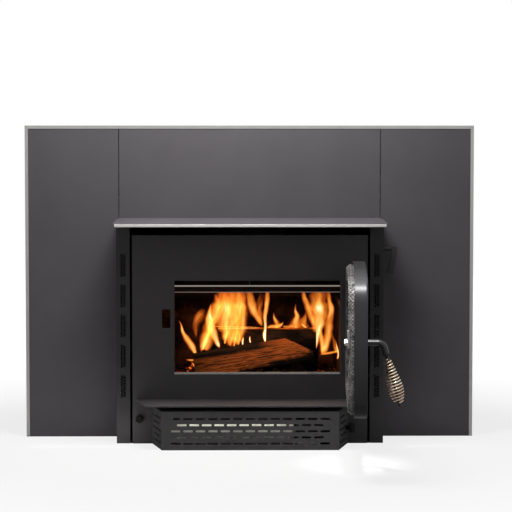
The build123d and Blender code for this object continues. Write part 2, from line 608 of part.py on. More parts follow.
KEEPER_BACK = FIREBOX_BACK - BRICK_THICK - BRICK_GAP
with BuildPart() as brick_keepers:
    for side in (-1, 1):
        keeper_y = (BRICK_FRONT, KEEPER_BACK)
        block(sided(side, BRICK_INNER - BRICK_GAP - KEEPER_SHEET, FIREBOX_HALF), keeper_y,
              (BRICK_TOP + BRICK_GAP / 2, BRICK_TOP + BRICK_GAP / 2 + KEEPER_SHEET))
        block(sided(side, BRICK_INNER - BRICK_GAP - KEEPER_SHEET, BRICK_INNER - BRICK_GAP), keeper_y,
              (BRICK_TOP - KEEPER_DROP, BRICK_TOP + BRICK_GAP / 2 + KEEPER_SHEET))
    back_half = BRICK_INNER - 2 * (BRICK_GAP + KEEPER_SHEET)
    block((-back_half, back_half), (KEEPER_BACK - KEEPER_SHEET, FIREBOX_BACK),
          (BRICK_TOP + BRICK_GAP / 2, BRICK_TOP + BRICK_GAP / 2 + KEEPER_SHEET))
    block((-back_half, back_half), (KEEPER_BACK - KEEPER_SHEET, KEEPER_BACK),
          (BRICK_TOP - KEEPER_DROP, BRICK_TOP + BRICK_GAP / 2 + KEEPER_SHEET))
brick_keepers.part.label = "brick_keepers"
export_step(brick_keepers.part, "parts/brick_keepers.step")

# ================================================================ secondary air: manifolds, tubes, baffle
TUBE_YS = [TUBE_FIRST_Y + TUBE_PITCH * i for i in range(TUBE_COUNT)]
MANIFOLD_FRONT = DUCT_FRONT
MANIFOLD_BACK = TUBE_YS[-1] + TUBE_DIAMETER
with BuildPart() as air_manifolds:
    for side in (-1, 1):
        block(sided(side, MANIFOLD_INNER, FIREBOX_HALF), (MANIFOLD_FRONT, MANIFOLD_BACK),
              (MANIFOLD_BOTTOM, MANIFOLD_TOP))
        block(sided(side, MANIFOLD_INNER + MANIFOLD_WALL, FIREBOX_HALF - MANIFOLD_WALL),
              (MANIFOLD_FRONT + MANIFOLD_WALL, MANIFOLD_BACK - MANIFOLD_WALL),
              (MANIFOLD_BOTTOM + MANIFOLD_WALL, MANIFOLD_TOP - MANIFOLD_WALL), Mode.SUBTRACT)
        block(sided(side, FIREBOX_HALF - MANIFOLD_WALL, FIREBOX_HALF),
              (DUCT_MIDDLE - DUCT_PORT[0] / 2, DUCT_MIDDLE + DUCT_PORT[0] / 2),
              (PORT_Z - DUCT_PORT[1] / 2, PORT_Z + DUCT_PORT[1] / 2), Mode.SUBTRACT)
    for y in TUBE_YS:
        with Locations((0, y, TUBE_Z)):
            Cylinder(TUBE_DIAMETER / 2, 2 * (MANIFOLD_INNER + MANIFOLD_WALL), rotation=(0, 90, 0),
                     mode=Mode.SUBTRACT)
air_manifolds.part.label = "air_manifolds"
export_step(air_manifolds.part, "parts/air_manifolds.step")

with BuildPart() as secondary_tubes:
    with BuildSketch(Plane.YZ.offset(-MANIFOLD_INNER - MANIFOLD_WALL)):
        with Locations(*[(y, TUBE_Z) for y in TUBE_YS]):
            Circle(TUBE_DIAMETER / 2)
            Circle(TUBE_DIAMETER / 2 - TUBE_WALL, mode=Mode.SUBTRACT)
    extrude(amount=2 * (MANIFOLD_INNER + MANIFOLD_WALL))
    for y in TUBE_YS:
        with BuildSketch(front_plane(y)):
            with Locations((0, TUBE_Z)):
                with GridLocations(TUBE_HOLE_PITCH, 1, TUBE_HOLES, 1):
                    Circle(TUBE_HOLE / 2)
        extrude(amount=TUBE_DIAMETER / 2, mode=Mode.SUBTRACT)
secondary_tubes.part.label = "secondary_tubes"
export_step(secondary_tubes.part, "parts/secondary_tubes.step")

with BuildPart() as baffle_boards:
    for side in (-1, 1):
        block(sided(side, BOARD_GAP / 2, FIREBOX_HALF - BOARD_GAP), (BOARD_FRONT, FIREBOX_BACK - BOARD_GAP),
              (MANIFOLD_TOP, MANIFOLD_TOP + BOARD_THICK))
baffle_boards.part.label = "baffle_boards"
export_step(baffle_boards.part, "parts/baffle_boards.step")


def air_duct(side):
    """Open-topped duct that feeds a manifold through the firebox side."""
    bottom = MANIFOLD_BOTTOM
    ends = (DUCT_FRONT, DUCT_FRONT + DUCT_DEPTH)
    with BuildPart() as duct:
        block(sided(side, FIREBOX_OUTER, DUCT_OUTER), ends, (bottom, FIREBOX_CEILING))
        block(sided(side, FIREBOX_OUTER, DUCT_OUTER - DUCT_SHEET),
              (ends[0] + DUCT_SHEET, ends[1] - DUCT_SHEET), (bottom + DUCT_SHEET, FIREBOX_CEILING),
              Mode.SUBTRACT)
        if side > 0:
            with BuildSketch(Plane.YZ.offset(DUCT_OUTER)):
                with Locations((DAMPER_Y, DAMPER_Z)):
                    Circle(DAMPER_SHAFT / 2 + RUNNING_GAP)
            extrude(amount=-DUCT_SHEET, mode=Mode.SUBTRACT)
    return duct


air_duct_left = air_duct(-1)
air_duct_left.part.label = "air_duct_left"
export_step(air_duct_left.part, "parts/air_duct_left.step")
air_duct_right = air_duct(1)
air_duct_right.part.label = "air_duct_right"
export_step(air_duct_right.part, "parts/air_duct_right.step")

# ================================================================ damper: shaft with flap, outside lever
DAMPER_START = FIREBOX_OUTER + DUCT_SHEET
LEVER_INNER = BODY_HALF + LEVER_OUT
with BuildPart() as damper_shaft:
    with Locations((DAMPER_START, DAMPER_Y, DAMPER_Z)):
        Cylinder(DAMPER_SHAFT / 2, LEVER_INNER - DAMPER_START, rotation=(0, 90, 0),
                 align=(Align.CENTER, Align.CENTER, Align.MIN))
    block((DAMPER_START, DAMPER_START + DAMPER_FLAP[0]),
          (DAMPER_Y - DAMPER_FLAP[2] / 2, DAMPER_Y + DAMPER_FLAP[2] / 2),
          (DAMPER_Z - DAMPER_FLAP[1] / 2, DAMPER_Z + DAMPER_FLAP[1] / 2))
damper_shaft.part.label = "damper_shaft"
export_step(damper_shaft.part, "parts/damper_shaft.step")

with BuildPart() as damper_lever:
    low = LEVER_TOP - LEVER_DROP
    with BuildSketch(front_plane(DAMPER_Y - LEVER_THICK / 2)):
        with BuildLine():
            Polyline((LEVER_INNER, LEVER_TOP), (LEVER_INNER + LEVER_WIDTH, LEVER_TOP),
                     (LEVER_INNER + LEVER_WIDTH, DAMPER_Z - DAMPER_SHAFT),
                     (LEVER_INNER + LEVER_WIDTH - LEVER_LEAN, low),
                     (LEVER_INNER - LEVER_LEAN, low), (LEVER_INNER, DAMPER_Z - DAMPER_SHAFT), close=True)
        make_face()
    extrude(amount=-LEVER_THICK)
    fillet(damper_lever.edges().filter_by(Axis.Y), LEVER_ROUND)
    fillet(damper_lever.edges().group_by(Axis.Y)[0], LEVER_ROUND / 2)
damper_lever.part.label = "damper_lever"
export_step(damper_lever.part, "parts/damper_lever.step")

# ================================================================ ash lip
LIP_FRONT = PLATE_FRONT - LIP_REACH
with BuildPart() as ash_lip:
    with BuildSketch(Plane.XY.offset(FIREBOX_FLOOR - LIP_SHEET)):
        Polygon((-LIP_BACK_HALF, PLATE_FRONT), (LIP_BACK_HALF, PLATE_FRONT),
                (LIP_BACK_HALF - LIP_TAPER, LIP_FRONT), (LIP_TAPER - LIP_BACK_HALF, LIP_FRONT), align=None)
    extrude(amount=LIP_SHEET)
    fillet(ash_lip.edges().filter_by(Axis.X).group_by(Axis.Y)[0], LIP_SHEET / 4)
ash_lip.part.label = "ash_lip"
export_step(ash_lip.part, "parts/ash_lip.step")

# ================================================================ blower housing
BLOWER_FRONT = PLATE_FRONT - BLOWER_REACH
BLOWER_MIDDLE_Z = BLOWER_HEIGHT / 2 - SLIT_DROP


def blower_outline(inset, back):
    """Plan of the blower box, its three walls moved in by inset and its back edge at y = back."""
    slope = BLOWER_TAPER / BLOWER_REACH
    shift = inset * SIDE_LENGTH / BLOWER_REACH
    front = BLOWER_FRONT + inset
    front_half = BLOWER_FRONT_HALF + inset * slope - shift
    back_half = BLOWER_BACK_HALF + (back - PLATE_FRONT) * slope - shift
    return [(-back_half, back), (-front_half, front), (front_half, front), (back_half, back)]


def slit_rows(wall_length):
    """Cuts the staggered rows of air slits of one wall."""
    longest = int((wall_length - SLIT_MARGIN) / SLIT_PITCH)
    for row in range(SLIT_ROWS):
        count = longest - row % 2
        height = (row - (SLIT_ROWS - 1) / 2) * SLIT_ROW_PITCH
        with Locations((0, height)):
            with GridLocations(SLIT_PITCH, 1, count, 1):
                SlotOverall(SLIT_LENGTH, SLIT_HEIGHT)


with BuildPart() as blower_housing:
    with BuildSketch(Plane.XY):
        Polygon(*blower_outline(0, PLATE_FRONT), align=None)
    extrude(amount=BLOWER_HEIGHT)
    with BuildSketch(Plane.XY.offset(BLOWER_SHEET)):
        Polygon(*blower_outline(BLOWER_SHEET, PLATE_FRONT), align=None)
    extrude(amount=BLOWER_HEIGHT - 2 * BLOWER_SHEET, mode=Mode.SUBTRACT)
    with BuildSketch(Plane(origin=(0, BLOWER_FRONT, BLOWER_MIDDLE_Z), x_dir=(1, 0, 0), z_dir=(0, -1, 0))):
        slit_rows(2 * BLOWER_FRONT_HALF)
    extrude(amount=-BLOWER_SHEET, mode=Mode.SUBTRACT)
    for side in (-1, 1):
        wall = Plane(
            origin=(side * (BLOWER_FRONT_HALF + BLOWER_TAPER / 2), (BLOWER_FRONT + PLATE_FRONT) / 2,
                    BLOWER_MIDDLE_Z),
            x_dir=(BLOWER_TAPER, side * BLOWER_REACH, 0), z_dir=(side * BLOWER_REACH, -BLOWER_TAPER, 0))
        with BuildSketch(wall):
            slit_rows(SIDE_LENGTH)
        extrude(amount=-BLOWER_SHEET, mode=Mode.SUBTRACT)
        block(sided(side, FLANGE_OUTER - BLOWER_FLANGE, FLANGE_OUTER),
              (PLATE_FRONT - BLOWER_SHEET, PLATE_FRONT), (BLOWER_SHEET, BLOWER_HEIGHT - BLOWER_SHEET))
    with BuildSketch(front_plane(PLATE_FRONT)):
        with Locations(*BLOWER_SCREW_POINTS):
            Circle(SCREW_SHANK / 2)
    extrude(amount=BLOWER_SHEET, mode=Mode.SUBTRACT)
blower_housing.part.label = "blower_housing"
export_step(blower_housing.part, "parts/blower_housing.step")

with BuildPart() as blower_screws:
    with BuildSketch(front_plane(PLATE_FRONT - BLOWER_SHEET)):
        with Locations(*BLOWER_SCREW_POINTS):
            Circle(SCREW_HEAD / 2)
    extrude(amount=SCREW_HEAD_HEIGHT)
    with BuildSketch(front_plane(PLATE_FRONT - BLOWER_SHEET)):
        with Locations(*BLOWER_SCREW_POINTS):
            Circle(SCREW_SHANK / 2)
    extrude(amount=-BLOWER_SHEET - PLATE_SHEET)
blower_screws.part.label = "blower_screws"
export_step(blower_screws.part, "parts/blower_screws.step")

GLAND_ALONG = SIDE_LENGTH / 2 - GLAND_SETBACK
gland_wall = Plane(
    origin=(BLOWER_FRONT_HALF + BLOWER_TAPER / 2, (BLOWER_FRONT + PLATE_FRONT) / 2, GLAND_Z),
    x_dir=(BLOWER_TAPER, BLOWER_REACH, 0), z_dir=(BLOWER_REACH, -BLOWER_TAPER, 0))
with BuildPart() as cord_gland:
    with BuildSketch(gland_wall):
        with Locations((GLAND_ALONG, 0)):
            RegularPolygon(GLAND_DIAMETER / 2, 6, major_radius=False)
            Circle(GLAND_DIAMETER / 4, mode=Mode.SUBTRACT)
    extrude(amount=GLAND_LENGTH / 3)
    with BuildSketch(gland_wall):
        with Locations((GLAND_ALONG, 0)):
            Circle(GLAND_DIAMETER * 0.4)
            Circle(GLAND_DIAMETER / 4, mode=Mode.SUBTRACT)
    extrude(amount=GLAND_LENGTH)
cord_gland.part.label = "cord_gland"
export_step(cord_gland.part, "parts/cord_gland.step")

# ================================================================ cross-flow fan: scroll, wheel, motor
FAN_Y = PLATE_FRONT - FAN_Y_REACH
FAN_Z = BLOWER_SHEET + SCROLL_RADIUS
MOUTH_MIDDLE = ((FAN_Y + PLATE_FRONT) / 2, BLOWER_SHEET + SCROLL_MOUTH / 2)
MOTOR_START = SCROLL_RIGHT + MOTOR_GAP
MOTOR_END = MOTOR_START + MOTOR_LENGTH

with BuildPart() as fan_scroll:
    with BuildSketch(Plane.YZ.offset(SCROLL_LEFT)):
        with Locations((FAN_Y, FAN_Z)):
            Circle(SCROLL_RADIUS)
        with Locations(MOUTH_MIDDLE):
            Rectangle(FAN_Y_REACH, SCROLL_MOUTH)
    extrude(amount=SCROLL_RIGHT - SCROLL_LEFT)
    with BuildSketch(Plane.YZ.offset(SCROLL_LEFT + SCROLL_SHEET)):
        with Locations((FAN_Y, FAN_Z)):
            Circle(SCROLL_RADIUS - SCROLL_SHEET)
        with Locations(MOUTH_MIDDLE):
            Rectangle(FAN_Y_REACH, SCROLL_MOUTH - 2 * SCROLL_SHEET)
    extrude(amount=SCROLL_RIGHT - SCROLL_LEFT - 2 * SCROLL_SHEET, mode=Mode.SUBTRACT)
    block((SCROLL_LEFT + SCROLL_SHEET, SCROLL_RIGHT - SCROLL_SHEET), (FAN_Y - SCROLL_RADIUS, FAN_Y),
          (SCROLL_INLET_Z, FAN_Z + SCROLL_RADIUS), Mode.SUBTRACT)
    with BuildSketch(Plane.YZ.offset(SCROLL_LEFT)):
        with Locations((FAN_Y, FAN_Z)):
            Circle(FAN_SHAFT / 2 + RUNNING_GAP)
    extrude(amount=SCROLL_RIGHT - SCROLL_LEFT, mode=Mode.SUBTRACT)
fan_scroll.part.label = "fan_scroll"
export_step(fan_scroll.part, "parts/fan_scroll.step")

SHAFT_START = SCROLL_LEFT - WHEEL_MARGIN
with BuildPart() as fan_shaft:
    with BuildSketch(Plane.YZ.offset(SHAFT_START)):
        with Locations((FAN_Y, FAN_Z)):
            Circle(FAN_SHAFT / 2)
    extrude(amount=MOTOR_END + MOTOR_CAP - SHAFT_START)
fan_shaft.part.label = "fan_shaft"
export_step(fan_shaft.part, "parts/fan_shaft.step")

WHEEL_START = SCROLL_LEFT + SCROLL_SHEET + WHEEL_MARGIN
WHEEL_LENGTH = SCROLL_RIGHT - SCROLL_SHEET - WHEEL_MARGIN - WHEEL_START
with BuildPart() as fan_wheel:
    with BuildSketch(Plane.YZ.offset(WHEEL_START)):
        with Locations((FAN_Y, FAN_Z)):
            with PolarLocations((WHEEL_DIAMETER - WHEEL_BLADE_DEPTH) / 2, WHEEL_BLADES):
                Rectangle(WHEEL_BLADE_DEPTH, WHEEL_RING)
    extrude(amount=WHEEL_LENGTH)
    for i in range(WHEEL_DISCS):
        start = WHEEL_START + i * (WHEEL_LENGTH - WHEEL_RING) / (WHEEL_DISCS - 1)
        with BuildSketch(Plane.YZ.offset(start)):
            with Locations((FAN_Y, FAN_Z)):
                Circle(WHEEL_DIAMETER / 2)
                Circle(FAN_SHAFT / 2, mode=Mode.SUBTRACT)
        extrude(amount=WHEEL_RING)
    for start in (WHEEL_START, WHEEL_START + WHEEL_LENGTH - WHEEL_HUB):
        with BuildSketch(Plane.YZ.offset(start)):
            with Locations((FAN_Y, FAN_Z)):
                Circle(WHEEL_HUB / 2)
                Circle(FAN_SHAFT / 2, mode=Mode.SUBTRACT)
        extrude(amount=WHEEL_HUB)
fan_wheel.part.label = "fan_wheel"
export_step(fan_wheel.part, "parts/fan_wheel.step")

with BuildPart() as blower_motor:
    with BuildSketch(Plane.YZ.offset(MOTOR_START)):
        with Locations((FAN_Y, FAN_Z)):
            Circle(MOTOR_DIAMETER / 2)
    extrude(amount=MOTOR_LENGTH)
    with BuildSketch(Plane.YZ.offset(MOTOR_START - MOTOR_CAP)):
        with Locations((FAN_Y, FAN_Z)):
            Circle(WHEEL_HUB)
    extrude(amount=MOTOR_LENGTH + 2 * MOTOR_CAP)
    with BuildSketch(Plane.YZ.offset(MOTOR_START - MOTOR_CAP)):
        with Locations((FAN_Y, FAN_Z)):
            Circle(FAN_SHAFT / 2 + RUNNING_GAP)
    extrude(amount=MOTOR_LENGTH + 2 * MOTOR_CAP, mode=Mode.SUBTRACT)
blower_motor.part.label = "blower_motor"
export_step(blower_motor.part, "parts/blower_motor.step")

with BuildPart() as motor_bracket:
    block((MOTOR_START, MOTOR_END), (FAN_Y - MOTOR_DIAMETER / 3, FAN_Y + MOTOR_DIAMETER / 3),
          (BLOWER_SHEET, FAN_Z - MOTOR_DIAMETER / 3))
    with BuildSketch(Plane.YZ.offset(MOTOR_START)):
        with Locations((FAN_Y, FAN_Z)):
            Circle(MOTOR_DIAMETER / 2)
    extrude(amount=MOTOR_LENGTH, mode=Mode.SUBTRACT)
motor_bracket.part.label = "motor_bracket"
export_step(motor_bracket.part, "parts/motor_bracket.step")

# ================================================================ speed control
with BuildPart() as speed_controller:
    block((KNOB_X - CONTROLLER[0] / 2, KNOB_X + CONTROLLER[0] / 2), (PLATE_BACK, PLATE_BACK + CONTROLLER[1]),
          (KNOB_Z - CONTROLLER[2] / 2, KNOB_Z + CONTROLLER[2] / 2))
    with BuildSketch(front_plane(PLATE_BACK)):
        with Locations((KNOB_X, KNOB_Z)):
            Circle(KNOB_STEM / 2 + RUNNING_GAP)
    extrude(amount=-KNOB_STEM_DEPTH - RUNNING_GAP, mode=Mode.SUBTRACT)
speed_controller.part.label = "speed_controller"
export_step(speed_controller.part, "parts/speed_controller.step")

with BuildPart() as speed_knob:
    with BuildSketch(front_plane(PLATE_FRONT - RUNNING_GAP)):
        with Locations((KNOB_X, KNOB_Z)):
            Circle(KNOB_DIAMETER / 2)
    extrude(amount=KNOB_LENGTH)
    fillet(speed_knob.edges().group_by(Axis.Y)[0], KNOB_LENGTH / 8)
    with BuildSketch(front_plane(PLATE_FRONT - RUNNING_GAP - KNOB_LENGTH)):
        with Locations((KNOB_X, KNOB_Z + KNOB_DIAMETER / 4)):
            Rectangle(KNOB_STEM / 4, KNOB_DIAMETER / 3)
    extrude(amount=-RUNNING_GAP * 2, mode=Mode.SUBTRACT)
    with BuildSketch(front_plane(PLATE_FRONT - RUNNING_GAP)):
        with Locations((KNOB_X, KNOB_Z)):
            Circle(KNOB_STEM / 2)
    extrude(amount=-PLATE_SHEET - KNOB_STEM_DEPTH)
speed_knob.part.label = "speed_knob"
export_step(speed_knob.part, "parts/speed_knob.step")

# ================================================================ primary air box, slide and knob
AIR_X = (AIR_ROD_X - AIR_BOX[0] / 2, AIR_ROD_X + AIR_BOX[0] / 2)
AIR_PLATE_Y = PLATE_BACK + DUCT_SHEET + AIR_SPARE + AIR_TRAVEL
AIR_PORT_Y = AIR_PLATE_Y + (AIR_PLATE[1] - AIR_PORT[1]) / 2
with BuildPart() as primary_air_box:
    block(AIR_X, (PLATE_BACK, PLATE_BACK + AIR_BOX[1]), (AIR_BOX_BOTTOM, FLOOR_UNDER))
    block((AIR_X[0] + DUCT_SHEET, AIR_X[1] - DUCT_SHEET),
          (PLATE_BACK + DUCT_SHEET, PLATE_BACK + AIR_BOX[1] - DUCT_SHEET),
          (AIR_BOX_BOTTOM + DUCT_SHEET, FLOOR_UNDER), Mode.SUBTRACT)
    block((AIR_ROD_X - AIR_PORT[0] / 2, AIR_ROD_X + AIR_PORT[0] / 2),
          (AIR_PORT_Y, AIR_PORT_Y + AIR_PORT[1]), (AIR_BOX_BOTTOM, AIR_BOX_BOTTOM + DUCT_SHEET),
          Mode.SUBTRACT)
    with BuildSketch(front_plane(PLATE_BACK)):
        with Locations((AIR_ROD_X, AIR_ROD_Z)):
            Circle(AIR_ROD / 2 + RUNNING_GAP)
    extrude(amount=-DUCT_SHEET, mode=Mode.SUBTRACT)
primary_air_box.part.label = "primary_air_box"
export_step(primary_air_box.part, "parts/primary_air_box.step")

AIR_PLATE_Z = AIR_BOX_BOTTOM + DUCT_SHEET + RUNNING_GAP
AIR_ROD_END = PLATE_FRONT - AIR_ROD_REACH
with BuildPart() as air_slide:
    block((AIR_ROD_X - AIR_PLATE[0] / 2, AIR_ROD_X + AIR_PLATE[0] / 2),
          (AIR_PLATE_Y, AIR_PLATE_Y + AIR_PLATE[1]), (AIR_PLATE_Z, AIR_PLATE_Z + AIR_PLATE[2]))
    block((AIR_ROD_X - AIR_ROD, AIR_ROD_X + AIR_ROD), (AIR_PLATE_Y, AIR_PLATE_Y + AIR_PLATE[2]),
          (AIR_PLATE_Z, AIR_ROD_Z + AIR_ROD))
    with BuildSketch(front_plane(AIR_PLATE_Y)):
        with Locations((AIR_ROD_X, AIR_ROD_Z)):
            Circle(AIR_ROD / 2)
    extrude(amount=AIR_PLATE_Y - AIR_ROD_END)
air_slide.part.label = "air_slide"
export_step(air_slide.part, "parts/air_slide.step")

with BuildPart() as air_knob:
    block((AIR_ROD_X - AIR_KNOB[0] / 2, AIR_ROD_X + AIR_KNOB[0] / 2),
          (AIR_ROD_END - AIR_KNOB[1], AIR_ROD_END),
          (AIR_ROD_Z - AIR_KNOB[2] / 2, AIR_ROD_Z + AIR_KNOB[2] / 2))
    fillet(air_knob.edges().filter_by(Axis.Y), AIR_KNOB[0] / 5)
    fillet(air_knob.edges().group_by(Axis.Y)[0], AIR_KNOB[0] / 8)
air_knob.part.label = "air_knob"
export_step(air_knob.part, "parts/air_knob.step")

# ================================================================ surround
SURROUND_HALF = SURROUND_WIDTH / 2
PANEL_TOP = SURROUND_HEIGHT - TRIM_SHEET
SEAM_HALF = BODY_HALF - PANEL_SEAM


def side_panel(side):
    """Full-height side panel with folded edges, screwed to the casing and to the top panel."""
    outer = SURROUND_HALF - TRIM_SHEET
    with BuildPart() as panel:
        block(sided(side, BODY_HALF, outer), (0, PANEL_SHEET), (0, PANEL_TOP))
        block(sided(side, BODY_HALF, BODY_HALF + PANEL_SHEET), (0, PANEL_RETURN), (0, PANEL_TOP))
        block(sided(side, outer - PANEL_SHEET, outer), (0, PANEL_RETURN), (0, PANEL_TOP))
        block(sided(side, BODY_HALF, outer), (0, PANEL_RETURN), (PANEL_TOP - PANEL_SHEET, PANEL_TOP))
        with BuildSketch(Plane.YZ.offset(side * BODY_HALF)):
            with Locations(*[(PANEL_RETURN / 2, z) for z in PANEL_SCREWS_LOW + PANEL_SCREWS_HIGH]):
                Circle(SCREW_SHANK / 2)
        extrude(amount=side * PANEL_SHEET, mode=Mode.SUBTRACT)
    return panel


surround_left = side_panel(-1)
surround_left.part.label = "surround_left"
export_step(surround_left.part, "parts/surround_left.step")
surround_right = side_panel(1)
surround_right.part.label = "surround_right"
export_step(surround_right.part, "parts/surround_right.step")

with BuildPart() as surround_top:
    across = (-SEAM_HALF, SEAM_HALF)
    block(across, (0, PANEL_SHEET), (HOOD_TOP, PANEL_TOP))
    block(across, (0, PANEL_RETURN), (HOOD_TOP, HOOD_TOP + PANEL_SHEET))
    block(across, (0, PANEL_RETURN), (PANEL_TOP - PANEL_SHEET, PANEL_TOP))
    for side in (-1, 1):
        block(sided(side, SEAM_HALF - PANEL_SHEET, SEAM_HALF), (0, PANEL_RETURN), (HOOD_TOP, PANEL_TOP))
        with BuildSketch(Plane.YZ.offset(side * SEAM_HALF)):
            with Locations(*[(PANEL_RETURN / 2, z) for z in PANEL_SCREWS_HIGH]):
                Circle(SCREW_SHANK / 2)
        extrude(amount=-side * PANEL_SHEET, mode=Mode.SUBTRACT)
surround_top.part.label = "surround_top"
export_step(surround_top.part, "parts/surround_top.step")

with BuildPart() as surround_trim:
    with BuildSketch(front_plane(0)):
        with Locations((0, SURROUND_HEIGHT / 2)):
            Rectangle(SURROUND_WIDTH, SURROUND_HEIGHT)
        with Locations((0, (SURROUND_HEIGHT - TRIM_WIDTH) / 2)):
            Rectangle(SURROUND_WIDTH - 2 * TRIM_WIDTH, SURROUND_HEIGHT - TRIM_WIDTH, mode=Mode.SUBTRACT)
    extrude(amount=TRIM_SHEET)
    with BuildSketch(front_plane(0)):
        with Locations((0, SURROUND_HEIGHT / 2)):
            Rectangle(SURROUND_WIDTH, SURROUND_HEIGHT)
        with Locations((0, PANEL_TOP / 2)):
            Rectangle(SURROUND_WIDTH - 2 * TRIM_SHEET, PANEL_TOP, mode=Mode.SUBTRACT)
    extrude(amount=-TRIM_DEPTH)
    for side in (-1, 1):
        corner = (side * (SURROUND_HALF - TRIM_WIDTH / 2), TRIM_DEPTH / 2, SURROUND_HEIGHT - TRIM_WIDTH / 2)
        with Locations(Location(corner, (0, -side * 45, 0))):
            Box(3 * TRIM_WIDTH, 2 * TRIM_DEPTH, MITRE_GAP, mode=Mode.SUBTRACT)
surround_trim.part.label = "surround_trim"
export_step(surround_trim.part, "parts/surround_trim.step")

with BuildPart() as surround_screws:
    for side in (-1, 1):
        for start, heights, toward in (
                (BODY_HALF + PANEL_SHEET, PANEL_SCREWS_LOW, -side),
                (SEAM_HALF - PANEL_SHEET, PANEL_SCREWS_HIGH, side)):
            points = [(PANEL_RETURN / 2, z) for z in heights]
            with BuildSketch(Plane.YZ.offset(side * start)):
                with Locations(*points):
                    Circle(SCREW_SHANK / 2)
            extrude(amount=toward * SCREW_LENGTH)
            with BuildSketch(Plane.YZ.offset(side * start)):
                with Locations(*points):
                    Circle(SCREW_HEAD / 2)
            extrude(amount=-toward * SCREW_HEAD_HEIGHT)
surround_screws.part.label = "surround_screws"
export_step(surround_screws.part, "parts/surround_screws.step")

# ================================================================ hinges
with BuildPart() as hinge_brackets:
    for height in HINGE_HEIGHTS:
        block((HINGE_X - KNUCKLE_DIAMETER / 2, HINGE_X + KNUCKLE_DIAMETER / 2), (HINGE_Y, PLATE_FRONT),
              (height, height + BRACKET_HEIGHT))
        with BuildSketch(Plane.XY.offset(height)):
            with Locations((HINGE_X, HINGE_Y)):
                Circle(KNUCKLE_DIAMETER / 2)
        extrude(amount=BRACKET_HEIGHT)
        with BuildSketch(Plane.XY.offset(height)):
            with Locations((HINGE_X, HINGE_Y)):
                Circle(PIN_DIAMETER / 2)
        extrude(amount=BRACKET_HEIGHT, mode=Mode.SUBTRACT)
hinge_brackets.part.label = "hinge_brackets"
export_step(hinge_brackets.part, "parts/hinge_brackets.step")

with BuildPart() as hinge_pins:
    for height in HINGE_HEIGHTS:
        with BuildSketch(Plane.XY.offset(height)):
            with Locations((HINGE_X, HINGE_Y)):
                Circle(PIN_DIAMETER / 2)
        extrude(amount=BRACKET_HEIGHT + HINGE_CLEARANCE + KNUCKLE_HEIGHT)
        with BuildSketch(Plane.XY.offset(height - PIN_HEAD[1])):
            with Locations((HINGE_X, HINGE_Y)):
                Circle(PIN_HEAD[0] / 2)
        extrude(amount=PIN_HEAD[1])
hinge_pins.part.label = "hinge_pins"
export_step(hinge_pins.part, "parts/hinge_pins.step")


# ================================================================ door, drawn where it stands open
def door_edges(inset):
    """Outline of the door moved inwards: straight sides, round shoulders, flat arch, round corners."""
    shoulder = SHOULDER_RADIUS - inset
    corner = DOOR_CORNER - inset
    near, far = DOOR_START + inset, DOOR_END - inset
    bottom = DOOR_BOTTOM + inset
    Line((far, bottom + corner), (far, ARCH_SPRING))
    CenterArc((far - shoulder, ARCH_SPRING), shoulder, 0, ARCH_ANGLE)
    CenterArc((DOOR_MIDDLE, ARCH_CENTRE), ARCH_RADIUS - inset, ARCH_ANGLE, 180 - 2 * ARCH_ANGLE)
    CenterArc((near + shoulder, ARCH_SPRING), shoulder, 180 - ARCH_ANGLE, ARCH_ANGLE)
    Line((near, ARCH_SPRING), (near, bottom + corner))
    CenterArc((near + corner, bottom + corner), corner, 180, 90)
    Line((near + corner, bottom), (far - corner, bottom))
    CenterArc((far - corner, bottom + corner), corner, 270, 90)


def door_face(inset):
    """The door's outline as a face."""
    with BuildSketch() as face:
        with BuildLine():
            door_edges(inset)
        make_face()
    return face.sketch


def window_face(inset):
    """Window shape with round corners: straight sides and sill under the door's own flat arch."""
    radius = ARCH_RADIUS - inset
    half = DOOR_WIDTH / 2 - inset
    near, far = DOOR_MIDDLE - half, DOOR_MIDDLE + half
    side_top = ARCH_CENTRE + sqrt(radius**2 - half**2)
    with BuildSketch() as face:
        with BuildLine():
            Polyline((near, side_top), (near, DOOR_BOTTOM + inset), (far, DOOR_BOTTOM + inset),
                     (far, side_top))
            ThreePointArc((far, side_top), (DOOR_MIDDLE, ARCH_CENTRE + radius), (near, side_top))
        make_face()
        fillet(face.vertices(), WINDOW_CORNER)
    return face.sketch


GLASS_LEVEL = FACE_IN + GASKET_THICK
CLIP_LEVEL = GLASS_LEVEL + GLASS_THICK
GLASS_SILL = DOOR_BOTTOM + GLASS_INSET
GLASS_HEAD = ARCH_CENTRE + sqrt((ARCH_RADIUS - GLASS_INSET) ** 2 - CLIP_SPREAD**2)
CLIP_MIDDLES = [(DOOR_MIDDLE + along, z) for along in (-CLIP_SPREAD, CLIP_SPREAD)
                for z in (GLASS_SILL + CLIP_OVERLAP - CLIP[1] / 2, GLASS_HEAD - CLIP_OVERLAP + CLIP[1] / 2)]
BOSS_MIDDLES = [(DOOR_MIDDLE + along, z) for along in (-CLIP_SPREAD, CLIP_SPREAD)
                for z in (GLASS_SILL - CLIP_OVERLAP, GLASS_HEAD + CLIP_OVERLAP)]

